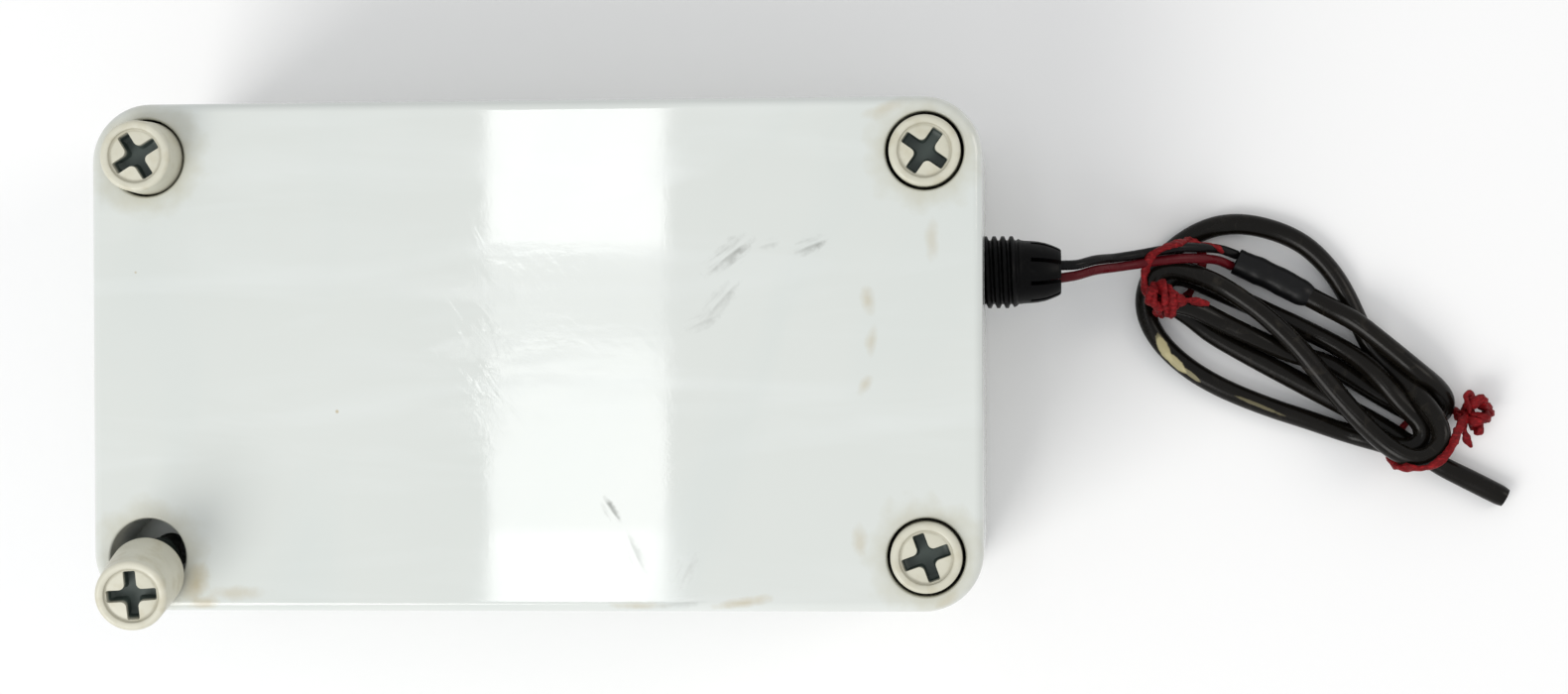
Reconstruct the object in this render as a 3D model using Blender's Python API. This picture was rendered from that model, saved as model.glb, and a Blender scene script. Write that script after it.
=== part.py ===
"""Garage door opener: a sealed box with a radio receiver, a cable gland and a tied control cable.

The box lies on its back with the lid up (+Z).  +X points out of the wall that holds the cable gland.
The origin is the centre of the base's bottom face.  All sizes are in metres.
"""

import math

import bmesh
import bpy
from mathutils import Matrix, Vector

MM = 0.001
GAP = 0.3 * MM                      # clearance between pieces that touch

# Enclosure
BOX_LENGTH = 158 * MM
BOX_WIDTH = 90 * MM
BOX_HEIGHT = 60 * MM
PARTING_Z = 42 * MM                 # top of the base's rim
WALL = 3 * MM
CORNER_RADIUS = 10.5 * MM
LID_EDGE_RADIUS = 1.8 * MM
BASE_EDGE_RADIUS = 1.0 * MM
SCREW_X = 69.0 * MM                 # lid screw axes, measured from the centre
SCREW_Y = 35.4 * MM
RECESS_RADIUS = 7.3 * MM
SEAT_Z = 45 * MM                    # floor of the screw recesses
SHANK_HOLE_RADIUS = 3.3 * MM
BORE_FLOOR_Z = 27 * MM              # bottom of the screw bores in the base
COLUMN_X = 59.5 * MM                # inner faces of the corner columns
COLUMN_Y = 26.0 * MM

# Seal between lid and base, as offsets outwards from the cavity's outline
GROOVE_INNER = 0.7 * MM
GROOVE_OUTER = 2.3 * MM
GROOVE_DEPTH = 2.4 * MM
TONGUE_INNER = 1.0 * MM
TONGUE_OUTER = 2.0 * MM
TONGUE_DROP = 1.1 * MM              # how far the tongue reaches below the base's rim
GASKET_HEIGHT = 0.7 * MM

# Lid screws
HEAD_RADIUS = 6.4 * MM
HEAD_HEIGHT = 15 * MM
SHANK_RADIUS = 3.0 * MM
SHANK_LENGTH = 16 * MM
SLOT_SPAN = 8.7 * MM
SLOT_WIDTH = 2.2 * MM
SLOT_DEPTH = 3.5 * MM
LOOSE_LEAN = math.radians(12)       # lean of the unscrewed screw, whose head rests on the recess's rim
LOOSE_DIRECTION = Vector((0.45, -0.89, 0.0))
LOOSE_TIP = Vector((-1.2, 0.2, 1.0)) * MM   # where its tip stands, from the middle of the seat

# Cable gland, on the +X wall
GLAND_Y = 14.9 * MM
GLAND_Z = 22 * MM
GLAND_HOLE_RADIUS = 7.0 * MM
THREAD_RADIUS = 6.7 * MM
THREAD_ROOT = 6.0 * MM
THREAD_PITCH = 1.6 * MM
THREAD_END_X = 85.8 * MM
NOSE_END_X = 93.2 * MM
NOSE_TIP_RADIUS = 4.1 * MM
GLAND_BORE = 3.1 * MM
HEX_RADIUS = 9.2 * MM
HEX_START_X = 70.7 * MM

# Circuit board
BOARD_X = (12 * MM, 56 * MM)
BOARD_Y = (-38 * MM, 38 * MM)
BOARD_Z = 8 * MM
BOARD_THICKNESS = 1.6 * MM
BOARD_TOP = BOARD_Z + BOARD_THICKNESS
POST_X = (16 * MM, 52 * MM)
POST_Y = 34 * MM

# Terminal block, in line with the gland
BLOCK_X = 49 * MM
POLE_OFFSET = 2.6 * MM              # its two clamps from the block's middle

# Battery
CELL_RADIUS = 7.1 * MM
CELL_LENGTH = 49 * MM
CELL_PITCH = 15.6 * MM
HOLDER_X = (-57 * MM, 6 * MM)
HOLDER_Y = 28.5 * MM
HOLDER_HEIGHT = 13 * MM

# Cable, leads and hank.  The hank has its own axes: along, across and up, turned about +Z.
LEAD_RADIUS = 0.9 * MM
LEAD_OFFSET = 1.4 * MM              # lead centres from the gland's axis
CABLE_RADIUS = 1.9 * MM
SLEEVE_RADIUS = 2.7 * MM
HANK_CENTRE = Vector((137 * MM, 0, 0))
HANK_ALONG = Vector((0.8, -0.6, 0.0))
HANK_ACROSS = Vector((0.6, 0.8, 0.0))
HANK_HEIGHT = 11.6 * MM
TRENCH_WIDTH = 11 * MM              # space in the hank's solid for the sleeve and the leads

FINISHES = {
    "abs_grey": ((0.70, 0.745, 0.725), 0.25, 0.0),
    "screw_grey": ((0.62, 0.60, 0.50), 0.40, 0.0),
    "black_nylon": ((0.012, 0.012, 0.013), 0.35, 0.0),
    "seal_rubber": ((0.05, 0.05, 0.05), 0.70, 0.0),
    "lead_red": ((0.20, 0.008, 0.015), 0.35, 0.0),
    "lead_black": ((0.012, 0.012, 0.012), 0.35, 0.0),
    "cable_grey": ((0.045, 0.042, 0.038), 0.40, 0.0),
    "heat_shrink": ((0.03, 0.03, 0.032), 0.45, 0.0),
    "tie_red": ((0.28, 0.01, 0.02), 0.55, 0.0),
    "board_green": ((0.02, 0.16, 0.06), 0.40, 0.0),
    "relay_blue": ((0.03, 0.12, 0.42), 0.35, 0.0),
    "terminal_green": ((0.03, 0.30, 0.12), 0.40, 0.0),
    "chip_black": ((0.02, 0.02, 0.02), 0.50, 0.0),
    "steel": ((0.55, 0.55, 0.56), 0.30, 1.0),
    "copper": ((0.72, 0.35, 0.16), 0.30, 1.0),
    "led_red": ((0.60, 0.03, 0.02), 0.15, 0.0),
    "cell_wrap": ((0.10, 0.10, 0.11), 0.30, 0.0),
    "holder_black": ((0.025, 0.025, 0.025), 0.50, 0.0),
    "resistor_tan": ((0.55, 0.38, 0.20), 0.50, 0.0),
}


def clear_scene():
    for obj in list(bpy.data.objects):
        bpy.data.objects.remove(obj, do_unlink=True)


def material(name):
    found = bpy.data.materials.get(name)
    if found:
        return found
    color, roughness, metallic = FINISHES[name]
    made = bpy.data.materials.new(name)
    made.use_nodes = True
    shader = made.node_tree.nodes["Principled BSDF"]
    shader.inputs["Base Color"].default_value = (*color, 1.0)
    shader.inputs["Roughness"].default_value = roughness
    shader.inputs["Metallic"].default_value = metallic
    made.diffuse_color = (*color, 1.0)
    return made


# ---------------------------------------------------------------- mesh building

def add_object(name, bm, finish=None):
    """Link the bmesh as an object, outward facing and shaded smooth up to 35 degrees."""
    bmesh.ops.recalc_face_normals(bm, faces=bm.faces)
    mesh = bpy.data.meshes.new(name)
    bm.to_mesh(mesh)
    bm.free()
    mesh.shade_smooth()
    mesh.set_sharp_from_angle(angle=math.radians(35))
    obj = bpy.data.objects.new(name, mesh)
    bpy.context.scene.collection.objects.link(obj)
    if finish:
        mesh.materials.append(material(finish))
    return obj


def loft(name, rings, finish=None, closed=False):
    """Skin rings of equal length; the ends are capped, or joined to each other when closed."""
    bm = bmesh.new()
    loops = [[bm.verts.new(p) for p in ring] for ring in rings]
    pairs = list(zip(loops, loops[1:]))
    if closed:
        pairs.append((loops[-1], loops[0]))
    else:
        bm.faces.new(list(reversed(loops[0])))
        bm.faces.new(loops[-1])
    for lower, upper in pairs:
        for i in range(len(lower)):
            j = (i + 1) % len(lower)
            bm.faces.new((lower[i], lower[j], upper[j], upper[i]))
    return add_object(name, bm, finish)


def prism(name, outline, z_low, z_high, finish=None):
    rings = [[Vector((x, y, z)) for x, y in outline] for z in (z_low, z_high)]
    return loft(name, rings, finish)


def frame_prism(name, outer, inner, z_low, z_high, finish=None):
    """A flat ring between two outlines with the same number of points."""
    corners = ((outer, z_low), (outer, z_high), (inner, z_high), (inner, z_low))
    rings = [[Vector((x, y, z)) for x, y in outline] for outline, z in corners]
    return loft(name, rings, finish, closed=True)


def revolve(name, profile, segments, finish=None, closed=False):
    """Turn (radius, height) points about +Z.  A closed profile makes a body with a bore."""
    rings = []
    for radius, height in profile:
        ring = []
        for i in range(segments):
            angle = 2 * math.pi * i / segments
            ring.append(Vector((radius * math.cos(angle), radius * math.sin(angle), height)))
        rings.append(ring)
    return loft(name, rings, finish, closed)


def block(name, size, centre, finish=None, bevel=0.0):
    bm = bmesh.new()
    bmesh.ops.create_cube(bm, size=1.0)
    bmesh.ops.scale(bm, vec=size, verts=bm.verts)
    if bevel:
        bmesh.ops.bevel(bm, geom=bm.edges[:], offset=bevel, segments=1, affect="EDGES")
    bmesh.ops.translate(bm, vec=centre, verts=bm.verts)
    return add_object(name, bm, finish)


def place(obj, matrix):
    """Move the mesh itself, so that the object's origin stays where it is."""
    obj.data.transform(matrix)
    return obj


def combine(target, tools, operation):
    """Apply exact booleans and delete the tools."""
    for tool in tools:
        modifier = target.modifiers.new(tool.name, "BOOLEAN")
        modifier.operation = operation
        modifier.solver = "EXACT"
        modifier.object = tool
        tool.hide_render = True
        tool.display_type = "WIRE"
    bpy.context.view_layer.update()
    graph = bpy.context.evaluated_depsgraph_get()
    mesh = bpy.data.meshes.new_from_object(target.evaluated_get(graph))
    mesh.name = target.name
    target.modifiers.clear()
    target.data = mesh
    mesh.shade_smooth()
    mesh.set_sharp_from_angle(angle=math.radians(35))
    for tool in tools:
        bpy.data.objects.remove(tool, do_unlink=True)
    return target


def arc(centre, radius, start, end, steps):
    points = []
    for i in range(steps + 1):
        angle = math.radians(start + (end - start) * i / steps)
        points.append((centre[0] + radius * math.cos(angle), centre[1] + radius * math.sin(angle)))
    return points


def rounded_rectangle(half_x, half_y, radius, steps=7):
    points = []
    for quarter, (sx, sy) in enumerate(((1, 1), (-1, 1), (-1, -1), (1, -1))):
        centre = (sx * (half_x - radius), sy * (half_y - radius))
        points += arc(centre, radius, 90 * quarter, 90 * quarter + 90, steps)
    return points


def cavity_outline(offset):
    """Outline of the box's inside, which steps inwards round the four corner columns."""
    half_x = BOX_LENGTH / 2 - WALL + offset
    half_y = BOX_WIDTH / 2 - WALL + offset
    step_x = COLUMN_X + offset
    step_y = COLUMN_Y + offset
    outer = 3.0 * MM + offset       # convex corners
    inner = 4.0 * MM - offset       # concave corners at the columns
    corner = arc((half_x - outer, step_y - outer), outer, 0, 90, 4)
    corner += arc((step_x + inner, step_y + inner), inner, 270, 180, 4)
    corner += arc((step_x - outer, half_y - outer), outer, 0, 90, 4)
    mirrored = [(-x, y) for x, y in reversed(corner)]
    upper = corner + mirrored
    return upper + [(-x, -y) for x, y in upper]


def edge_rounding(radius, steps):
    """(inset, rise) pairs of a quarter round, from the side wall to the flat face."""
    pairs = []
    for i in range(steps + 1):
        angle = math.pi / 2 * i / steps
        pairs.append((radius * (1 - math.cos(angle)), radius * math.sin(angle)))
    return pairs


def box_ring(inset, z):
    outline = rounded_rectangle(BOX_LENGTH / 2 - inset, BOX_WIDTH / 2 - inset, CORNER_RADIUS - inset)
    return [Vector((x, y, z)) for x, y in outline]


def smooth_path(points, spacing):
    """Points along a Catmull-Rom curve through the route's own points."""
    route = [Vector(p) for p in points]
    route = [2 * route[0] - route[1]] + route + [2 * route[-1] - route[-2]]
    path = []
    for a, b, c, d in zip(route, route[1:], route[2:], route[3:]):
        steps = max(1, round((c - b).length / spacing))
        for i in range(steps):
            t = i / steps
            path.append(0.5 * (2 * b + (c - a) * t + (2 * a - 5 * b + 4 * c - d) * t ** 2
                               + (3 * b - a - 3 * c + d) * t ** 3))
    path.append(route[-2])
    return path


def tube(name, points, radius, finish, spacing):
    """A cord: a filled curve on a polyline read from a smooth curve."""
    path = smooth_path(points, spacing)
    curve = bpy.data.curves.new(name, "CURVE")
    curve.dimensions = "3D"
    curve.bevel_depth = radius
    curve.bevel_resolution = 2
    curve.use_fill_caps = True
    spline = curve.splines.new("POLY")
    spline.points.add(len(path) - 1)
    for slot, point in zip(spline.points, path):
        slot.co = (*point, 1.0)
    curve.materials.append(material(finish))
    obj = bpy.data.objects.new(name, curve)
    bpy.context.scene.collection.objects.link(obj)
    return obj


def along_x(y, z):
    """Matrix that turns a body made about +Z to lie along +X, on the axis at (y, z)."""
    return Matrix.Translation((0, y, z)) @ Matrix.Rotation(math.pi / 2, 4, "Y") \
        @ Matrix.Rotation(math.pi / 2, 4, "Z")


def hank_point(along, across, height):
    """World position of a point given in the hank's own axes, in millimetres."""
    return HANK_CENTRE + (HANK_ALONG * along + HANK_ACROSS * across + Vector((0, 0, height))) * MM


# ---------------------------------------------------------------- enclosure

def corner_signs():
    return [(sx, sy) for sx in (-1, 1) for sy in (-1, 1)]


def upright(name, radius, x, y, z_low, z_high, segments=20):
    obj = revolve(name, [(radius, z_low), (radius, z_high)], segments)
    return place(obj, Matrix.Translation((x, y, 0)))


def build_base():
    rings = [box_ring(inset, BASE_EDGE_RADIUS - rise)
             for inset, rise in reversed(edge_rounding(BASE_EDGE_RADIUS, 2))]
    rings.append(box_ring(0, PARTING_Z))
    base = loft("base_shell", rings, "abs_grey")
    cuts = [prism("cavity", cavity_outline(0), WALL, PARTING_Z + WALL)]
    cuts.append(frame_prism("groove", cavity_outline(GROOVE_OUTER), cavity_outline(GROOVE_INNER),
                            PARTING_Z - GROOVE_DEPTH, PARTING_Z + WALL))
    for sx, sy in corner_signs():
        cuts.append(upright("bore", SHANK_HOLE_RADIUS, sx * SCREW_X, sy * SCREW_Y,
                            BORE_FLOOR_Z, PARTING_Z + WALL))
    hole = revolve("gland_hole", [(GLAND_HOLE_RADIUS, BOX_LENGTH / 2 - 2 * WALL),
                                  (GLAND_HOLE_RADIUS, BOX_LENGTH / 2 + WALL)], 28)
    cuts.append(place(hole, along_x(GLAND_Y, GLAND_Z)))
    combine(base, cuts, "DIFFERENCE")
    posts = [upright("post", 3.6 * MM, x, y, WALL - 1 * MM, BOARD_Z - GAP, 16)
             for x in POST_X for y in (-POST_Y, POST_Y)]
    combine(base, posts, "UNION")
    pilots = [upright("pilot", 1.6 * MM, x, y, 3.4 * MM, BOARD_Z + WALL, 12)
              for x in POST_X for y in (-POST_Y, POST_Y)]
    combine(base, pilots, "DIFFERENCE")


def build_lid():
    rings = [box_ring(0, PARTING_Z + GAP)]
    rings += [box_ring(inset, BOX_HEIGHT - LID_EDGE_RADIUS + rise)
              for inset, rise in edge_rounding(LID_EDGE_RADIUS, 3)]
    lid = loft("lid_shell", rings, "abs_grey")
    tongue = frame_prism("tongue", cavity_outline(TONGUE_OUTER), cavity_outline(TONGUE_INNER),
                         PARTING_Z - TONGUE_DROP, PARTING_Z + 1 * MM)
    combine(lid, [tongue], "UNION")
    cuts = [prism("cavity", cavity_outline(0), PARTING_Z - 2 * WALL, BOX_HEIGHT - WALL)]
    for sx, sy in corner_signs():
        cuts.append(upright("recess", RECESS_RADIUS, sx * SCREW_X, sy * SCREW_Y, SEAT_Z,
                            BOX_HEIGHT + WALL, 40))
        cuts.append(upright("hole", SHANK_HOLE_RADIUS, sx * SCREW_X, sy * SCREW_Y,
                            PARTING_Z - WALL, SEAT_Z + 1 * MM))
    combine(lid, cuts, "DIFFERENCE")


def build_gasket():
    low = PARTING_Z - GROOVE_DEPTH + GAP
    frame_prism("lid_gasket", cavity_outline(TONGUE_OUTER), cavity_outline(TONGUE_INNER),
                low, low + GASKET_HEIGHT, "seal_rubber")


def lid_screw(name, slot_angle):
    """A tall cylinder-headed screw, its shank's tip at the origin."""
    top = SHANK_LENGTH + HEAD_HEIGHT
    rim = HEAD_RADIUS - 1.6 * MM
    profile = [
        (SHANK_RADIUS - 0.6 * MM, 0),
        (SHANK_RADIUS, 0.6 * MM),
        (SHANK_RADIUS, SHANK_LENGTH),
        (HEAD_RADIUS - 0.4 * MM, SHANK_LENGTH),
        (HEAD_RADIUS, SHANK_LENGTH + 0.4 * MM),
        (HEAD_RADIUS, top - 0.8 * MM),
        (HEAD_RADIUS - 0.25 * MM, top - 0.25 * MM),
        (HEAD_RADIUS - 0.8 * MM, top),
        (rim, top - 0.1 * MM),
        (rim - 0.4 * MM, top - 0.6 * MM),
    ]
    screw = revolve(name, profile, 28, "screw_grey")
    arms = []
    for quarter in (0, 90):
        size = (SLOT_SPAN, SLOT_WIDTH, 2 * SLOT_DEPTH)
        arm = block("slot", size, (0, 0, top))
        arms.append(place(arm, Matrix.Rotation(math.radians(slot_angle + quarter), 4, "Z")))
    return combine(screw, arms, "DIFFERENCE")


def build_lid_screws():
    """Two seated screws, one half out, and one fully unscrewed that leans in its recess."""
    upright_screws = (
        ("lid_screw_rear_left", -1, 1, 7.0, 32),
        ("lid_screw_rear_right", 1, 1, 1.2, 55),
        ("lid_screw_front_right", 1, -1, 1.5, 20),
    )
    for name, sx, sy, rise, slot_angle in upright_screws:
        screw = lid_screw(name, slot_angle)
        screw.location = (sx * SCREW_X, sy * SCREW_Y, SEAT_Z - SHANK_LENGTH + rise * MM)
    loose = lid_screw("lid_screw_front_left", 3)
    axis = LOOSE_DIRECTION.normalized()
    turn = Matrix.Rotation(LOOSE_LEAN, 4, Vector((0, 0, 1)).cross(axis))
    tip = Vector((-SCREW_X, -SCREW_Y, SEAT_Z)) + LOOSE_TIP
    loose.matrix_world = Matrix.Translation(tip) @ turn


# ---------------------------------------------------------------- gland

def build_gland():
    crest_count = round((THREAD_END_X - BOX_LENGTH / 2) / THREAD_PITCH)
    profile = [(GLAND_BORE, HEX_START_X - 1.5 * MM), (5.6 * MM, HEX_START_X - 1.5 * MM)]
    profile += [(5.6 * MM, HEX_START_X + 1 * MM), (THREAD_ROOT, HEX_START_X + 1 * MM)]
    profile.append((THREAD_ROOT, BOX_LENGTH / 2))
    for turn in range(crest_count):
        start = BOX_LENGTH / 2 + turn * THREAD_PITCH
        profile.append((THREAD_RADIUS, start + 0.45 * THREAD_PITCH))
        profile.append((THREAD_RADIUS, start + 0.6 * THREAD_PITCH))
        profile.append((THREAD_ROOT, start + THREAD_PITCH))
    profile += [(5.85 * MM, THREAD_END_X + 0.4 * MM), (5.7 * MM, NOSE_END_X - 4.4 * MM)]
    profile += [(NOSE_TIP_RADIUS, NOSE_END_X), (2.75 * MM, NOSE_END_X)]
    profile += [(2.75 * MM, NOSE_END_X - 1.2 * MM), (GLAND_BORE, NOSE_END_X - 1.6 * MM)]
    gland = revolve("gland_body", profile, 28, "black_nylon", closed=True)
    place(gland, along_x(GLAND_Y, GLAND_Z))
    hexagon = revolve("hexagon", [(HEX_RADIUS, HEX_START_X), (HEX_RADIUS, BOX_LENGTH / 2 - WALL - GAP),
                                  (4.5 * MM, BOX_LENGTH / 2 - WALL - GAP), (4.5 * MM, HEX_START_X)],
                      6, closed=True)
    place(hexagon, along_x(GLAND_Y, GLAND_Z))
    combine(gland, [hexagon], "UNION")
    slots = []
    for i in range(4):
        size = (7.2 * MM, 0.9 * MM, 14 * MM)
        cut = block("finger_slot", size, (NOSE_END_X - 2.1 * MM, 0, 0))
        turn = Matrix.Rotation(math.radians(22.5 + 45 * i), 4, "X")
        slots.append(place(cut, Matrix.Translation((0, GLAND_Y, GLAND_Z)) @ turn))
    combine(gland, slots, "DIFFERENCE")
    seal = revolve("gland_seal", [(GLAND_BORE - GAP, 79 * MM), (GLAND_BORE - GAP, 90.5 * MM)], 20,
                   "seal_rubber")
    place(seal, along_x(GLAND_Y, GLAND_Z))
    holes = []
    for side in (-1, 1):
        hole = revolve("lead_hole", [(LEAD_RADIUS + GAP, 75 * MM), (LEAD_RADIUS + GAP, 95 * MM)], 12)
        holes.append(place(hole, along_x(GLAND_Y + side * LEAD_OFFSET, GLAND_Z)))
    combine(seal, holes, "DIFFERENCE")


# ---------------------------------------------------------------- circuit board

def build_board():
    board = block("circuit_board", (BOARD_X[1] - BOARD_X[0], BOARD_Y[1] - BOARD_Y[0], BOARD_THICKNESS),
                  (sum(BOARD_X) / 2, 0, BOARD_Z + BOARD_THICKNESS / 2), "board_green")
    holes = [upright("hole", 1.7 * MM, x, y, 0, 20 * MM, 12) for x in POST_X for y in (-POST_Y, POST_Y)]
    combine(board, holes, "DIFFERENCE")
    number = 0
    for x in POST_X:
        for y in (-POST_Y, POST_Y):
            number += 1
            head = BOARD_TOP + GAP
            profile = [(1.3 * MM, 4.2 * MM), (1.3 * MM, head), (2.75 * MM, head),
                       (2.75 * MM, head + 1.2 * MM), (2.0 * MM, head + 1.9 * MM)]
            screw = revolve(f"board_screw_{number}", profile, 12, "steel")
            place(screw, Matrix.Translation((x, y, 0)))
            slot = block("slot", (3.2 * MM, 0.6 * MM, 1.2 * MM), (x, y, head + 1.9 * MM))
            combine(screw, [slot], "DIFFERENCE")


def on_board(name, size, x, y, finish, bevel=0.2 * MM):
    """A rectangular component standing on the board."""
    centre = (x * MM, y * MM, BOARD_TOP + GAP + size[2] / 2 * MM)
    return block(name, [s * MM for s in size], centre, finish, bevel)


def build_terminal_block():
    body = on_board("terminal_block", (8.0, 10.4, 10.0), BLOCK_X / MM, GLAND_Y / MM, "terminal_green")
    cuts = []
    for side in (-1, 1):
        y = GLAND_Y + side * POLE_OFFSET
        cuts.append(upright("well", 1.9 * MM, BLOCK_X, y, 16.4 * MM, 30 * MM))
        cuts.append(block("entry", (4.4 * MM, 3.0 * MM, 3.0 * MM), (BLOCK_X + 3.0 * MM, y, 13.0 * MM)))
    combine(body, cuts, "DIFFERENCE")
    for number, side in ((1, -1), (2, 1)):
        point = (BLOCK_X, GLAND_Y + side * POLE_OFFSET, 17.0 * MM)
        profile = [(1.55 * MM, 0), (1.55 * MM, 1.6 * MM), (1.3 * MM, 1.9 * MM)]
        screw = revolve(f"terminal_screw_{number}", profile, 14, "steel")
        screw.location = point
        slot = block("slot", (2.4 * MM, 0.5 * MM, 1.2 * MM), (0, 0, 1.9 * MM))
        slot.location = point
        combine(screw, [slot], "DIFFERENCE")


def standing(name, radius, height, x, y, finish, segments=24, edge=0.3):
    """A round component standing on the board."""
    low = BOARD_TOP + GAP
    profile = [(radius * MM, low), (radius * MM, low + (height - edge) * MM),
               ((radius - edge) * MM, low + height * MM)]
    obj = revolve(name, profile, segments, finish)
    return place(obj, Matrix.Translation((x * MM, y * MM, 0)))


def lying(name, radius, length, x, y, finish):
    """A round component lying on the board, along Y."""
    edge = 0.25 * MM
    half = length / 2 * MM
    profile = [(radius * MM - edge, -half), (radius * MM, edge - half), (radius * MM, half - edge),
               (radius * MM - edge, half)]
    obj = revolve(name, profile, 16, finish)
    turn = Matrix.Rotation(math.pi / 2, 4, "X")
    return place(obj, Matrix.Translation((x * MM, y * MM, BOARD_TOP + GAP + radius * MM)) @ turn)


def build_components():
    on_board("relay", (15.6, 19.2, 15.4), 24.0, 20.0, "relay_blue", 0.5 * MM)
    module = on_board("receiver_module", (14.0, 30.0, 1.2), 25.0, -19.0, "board_green", 0)
    place(module, Matrix.Translation((0, 0, 2.6 * MM)))
    parts = [on_board("pins", (2.5, 20.0, 3.0), 19.8, -19.0, None, 0)]
    for size, x, y in (((6.0, 6.2, 1.6), 25.0, -25.0), ((5.0, 5.0, 3.4), 26.5, -12.0)):
        part = on_board("part", size, x, y, None, 0)
        parts.append(place(part, Matrix.Translation((0, 0, 3.6 * MM))))
    combine(module, parts, "UNION")
    standing("antenna_coil", 2.6, 16.0, 25.0, 2.5, "copper")
    on_board("controller_chip", (6.4, 9.6, 3.4), 40.0, -8.0, "chip_black")
    on_board("crystal", (4.4, 10.8, 3.6), 47.5, -6.5, "steel", 0.6 * MM)
    on_board("voltage_regulator", (4.6, 10.0, 15.0), 36.0, -27.0, "chip_black")
    standing("filter_capacitor", 4.0, 12.0, 45.0, -27.0, "chip_black", 28, 0.5)
    standing("status_led", 1.5, 4.6, 51.5, -18.0, "led_red", 20, 0.9)
    lying("flyback_diode", 1.35, 5.2, 36.0, 20.0, "chip_black")
    lying("resistor_1", 1.2, 6.3, 39.5, 3.0, "resistor_tan")
    lying("resistor_2", 1.2, 6.3, 43.0, 3.0, "resistor_tan")
    on_board("ceramic_capacitor", (2.4, 5.0, 5.0), 35.0, 4.0, "resistor_tan", 0.7 * MM)
    on_board("power_header", (5.0, 6.0, 7.0), 15.5, 4.0, "holder_black")
    on_board("learn_button_body", (6.0, 6.0, 3.4), 51.0, 26.0, "chip_black", 0.3 * MM)


def build_learn_button():
    """The plunger stands in a well in the switch's body and travels down into it."""
    body = bpy.data.objects["learn_button_body"]
    x, y = 51.0 * MM, 26.0 * MM
    well = upright("well", 2.0 * MM, x, y, BOARD_TOP + 1.5 * MM, 30 * MM, 24)
    combine(body, [well], "DIFFERENCE")
    plunger = revolve("learn_button_plunger", [(1.7 * MM, 0), (1.7 * MM, 2.7 * MM), (1.5 * MM, 2.9 * MM)],
                      24, "holder_black")
    plunger.location = (x, y, BOARD_TOP + 2.1 * MM)


# ---------------------------------------------------------------- battery

def build_battery():
    centre_x = sum(HOLDER_X) / 2
    low = WALL + GAP
    holder = block("battery_holder", (HOLDER_X[1] - HOLDER_X[0], 2 * HOLDER_Y, HOLDER_HEIGHT),
                   (centre_x, 0, low + HOLDER_HEIGHT / 2), "holder_black", 0.4 * MM)
    wells = []
    for i in range(4):
        x = centre_x + (i - 1.5) * CELL_PITCH
        wells.append(block("well", (2 * CELL_RADIUS + 2 * GAP, 2 * HOLDER_Y - 5 * MM, HOLDER_HEIGHT),
                           (x, 0, low + 1.2 * MM + HOLDER_HEIGHT / 2)))
        flip = 1 if i % 2 else -1
        half = CELL_LENGTH / 2
        profile = [(CELL_RADIUS - 0.5 * MM, -half), (CELL_RADIUS, 0.5 * MM - half),
                   (CELL_RADIUS, half - 0.5 * MM), (CELL_RADIUS - 0.5 * MM, half),
                   (2.7 * MM, half), (2.6 * MM, half + 1.2 * MM)]
        cell = revolve(f"battery_cell_{i + 1}", profile, 18, "cell_wrap")
        turn = Matrix.Rotation(-flip * math.pi / 2, 4, "X")
        place(cell, Matrix.Translation((x, 0, low + 1.2 * MM + GAP + CELL_RADIUS)) @ turn)
    combine(holder, wells, "DIFFERENCE")


# ---------------------------------------------------------------- wiring and cable

def build_inner_wiring():
    for name, finish, side in (("inner_lead_red", "lead_red", -1), ("inner_lead_black", "lead_black", 1)):
        y_block = (GLAND_Y + side * POLE_OFFSET) / MM
        y_gland = (GLAND_Y + side * LEAD_OFFSET) / MM
        route = [(51.2, y_block, 13.0), (55.0, y_block, 13.0), (59.5, y_block, 13.8),
                 (64.0, y_gland + side * 0.6, 18.2), (68.5, y_gland, 21.6), (73.0, y_gland, 22.0),
                 (82.0, y_gland, 22.0), (92.6, y_gland, 22.0)]
        tube(name, [Vector(p) * MM for p in route], LEAD_RADIUS, finish, 2.5 * MM)
    for name, finish, y in (("battery_lead_red", "lead_red", 5.5), ("battery_lead_black", "lead_black", 2.5)):
        route = [(6.4, y, 12.5), (8.0, y, 13.6), (9.6, y, 18.0), (12.0, y, 20.6),
                 (14.6, y, 20.4), (15.5, y, 17.5)]
        tube(name, [Vector(p) * MM for p in route], 0.7 * MM, finish, 2.0 * MM)


def build_leads():
    """The free pair from the gland's nose to the heat-shrink sleeve in the hank."""
    routes = {
        "red_lead": [(93.5, 13.5, 22.0), (96.0, 13.9, 21.7), (99.5, 14.9, 19.0), (103.5, 15.5, 14.9),
                     (107.5, 16.1, 12.8), (112.0, 16.9, 11.9), (116.0, 17.5, 10.6), (120.0, 17.5, 8.2),
                     (123.4, 17.2, 5.0), (126.0, 16.2, 3.0)],
        "black_lead": [(93.5, 16.3, 22.0), (96.0, 16.7, 21.7), (99.5, 17.1, 19.0), (103.5, 17.6, 14.9),
                       (107.5, 18.2, 12.8), (112.0, 19.0, 11.9), (116.0, 19.6, 10.6), (120.0, 19.6, 8.2),
                       (123.9, 19.3, 5.0), (127.0, 18.3, 3.0)],
    }
    finishes = {"red_lead": "lead_red", "black_lead": "lead_black"}
    for name, route in routes.items():
        tube(name, [Vector(p) * MM for p in route], LEAD_RADIUS, finishes[name], 3 * MM)


def sleeve_route():
    return [hank_point(*p) for p in ((-18.3, 7.6, 2.9), (-11.5, 9.1, 2.9), (-3.1, 10.4, 3.2))]


def build_sleeve():
    tube("splice_sleeve", sleeve_route(), SLEEVE_RADIUS, "heat_shrink", 4 * MM)


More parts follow.
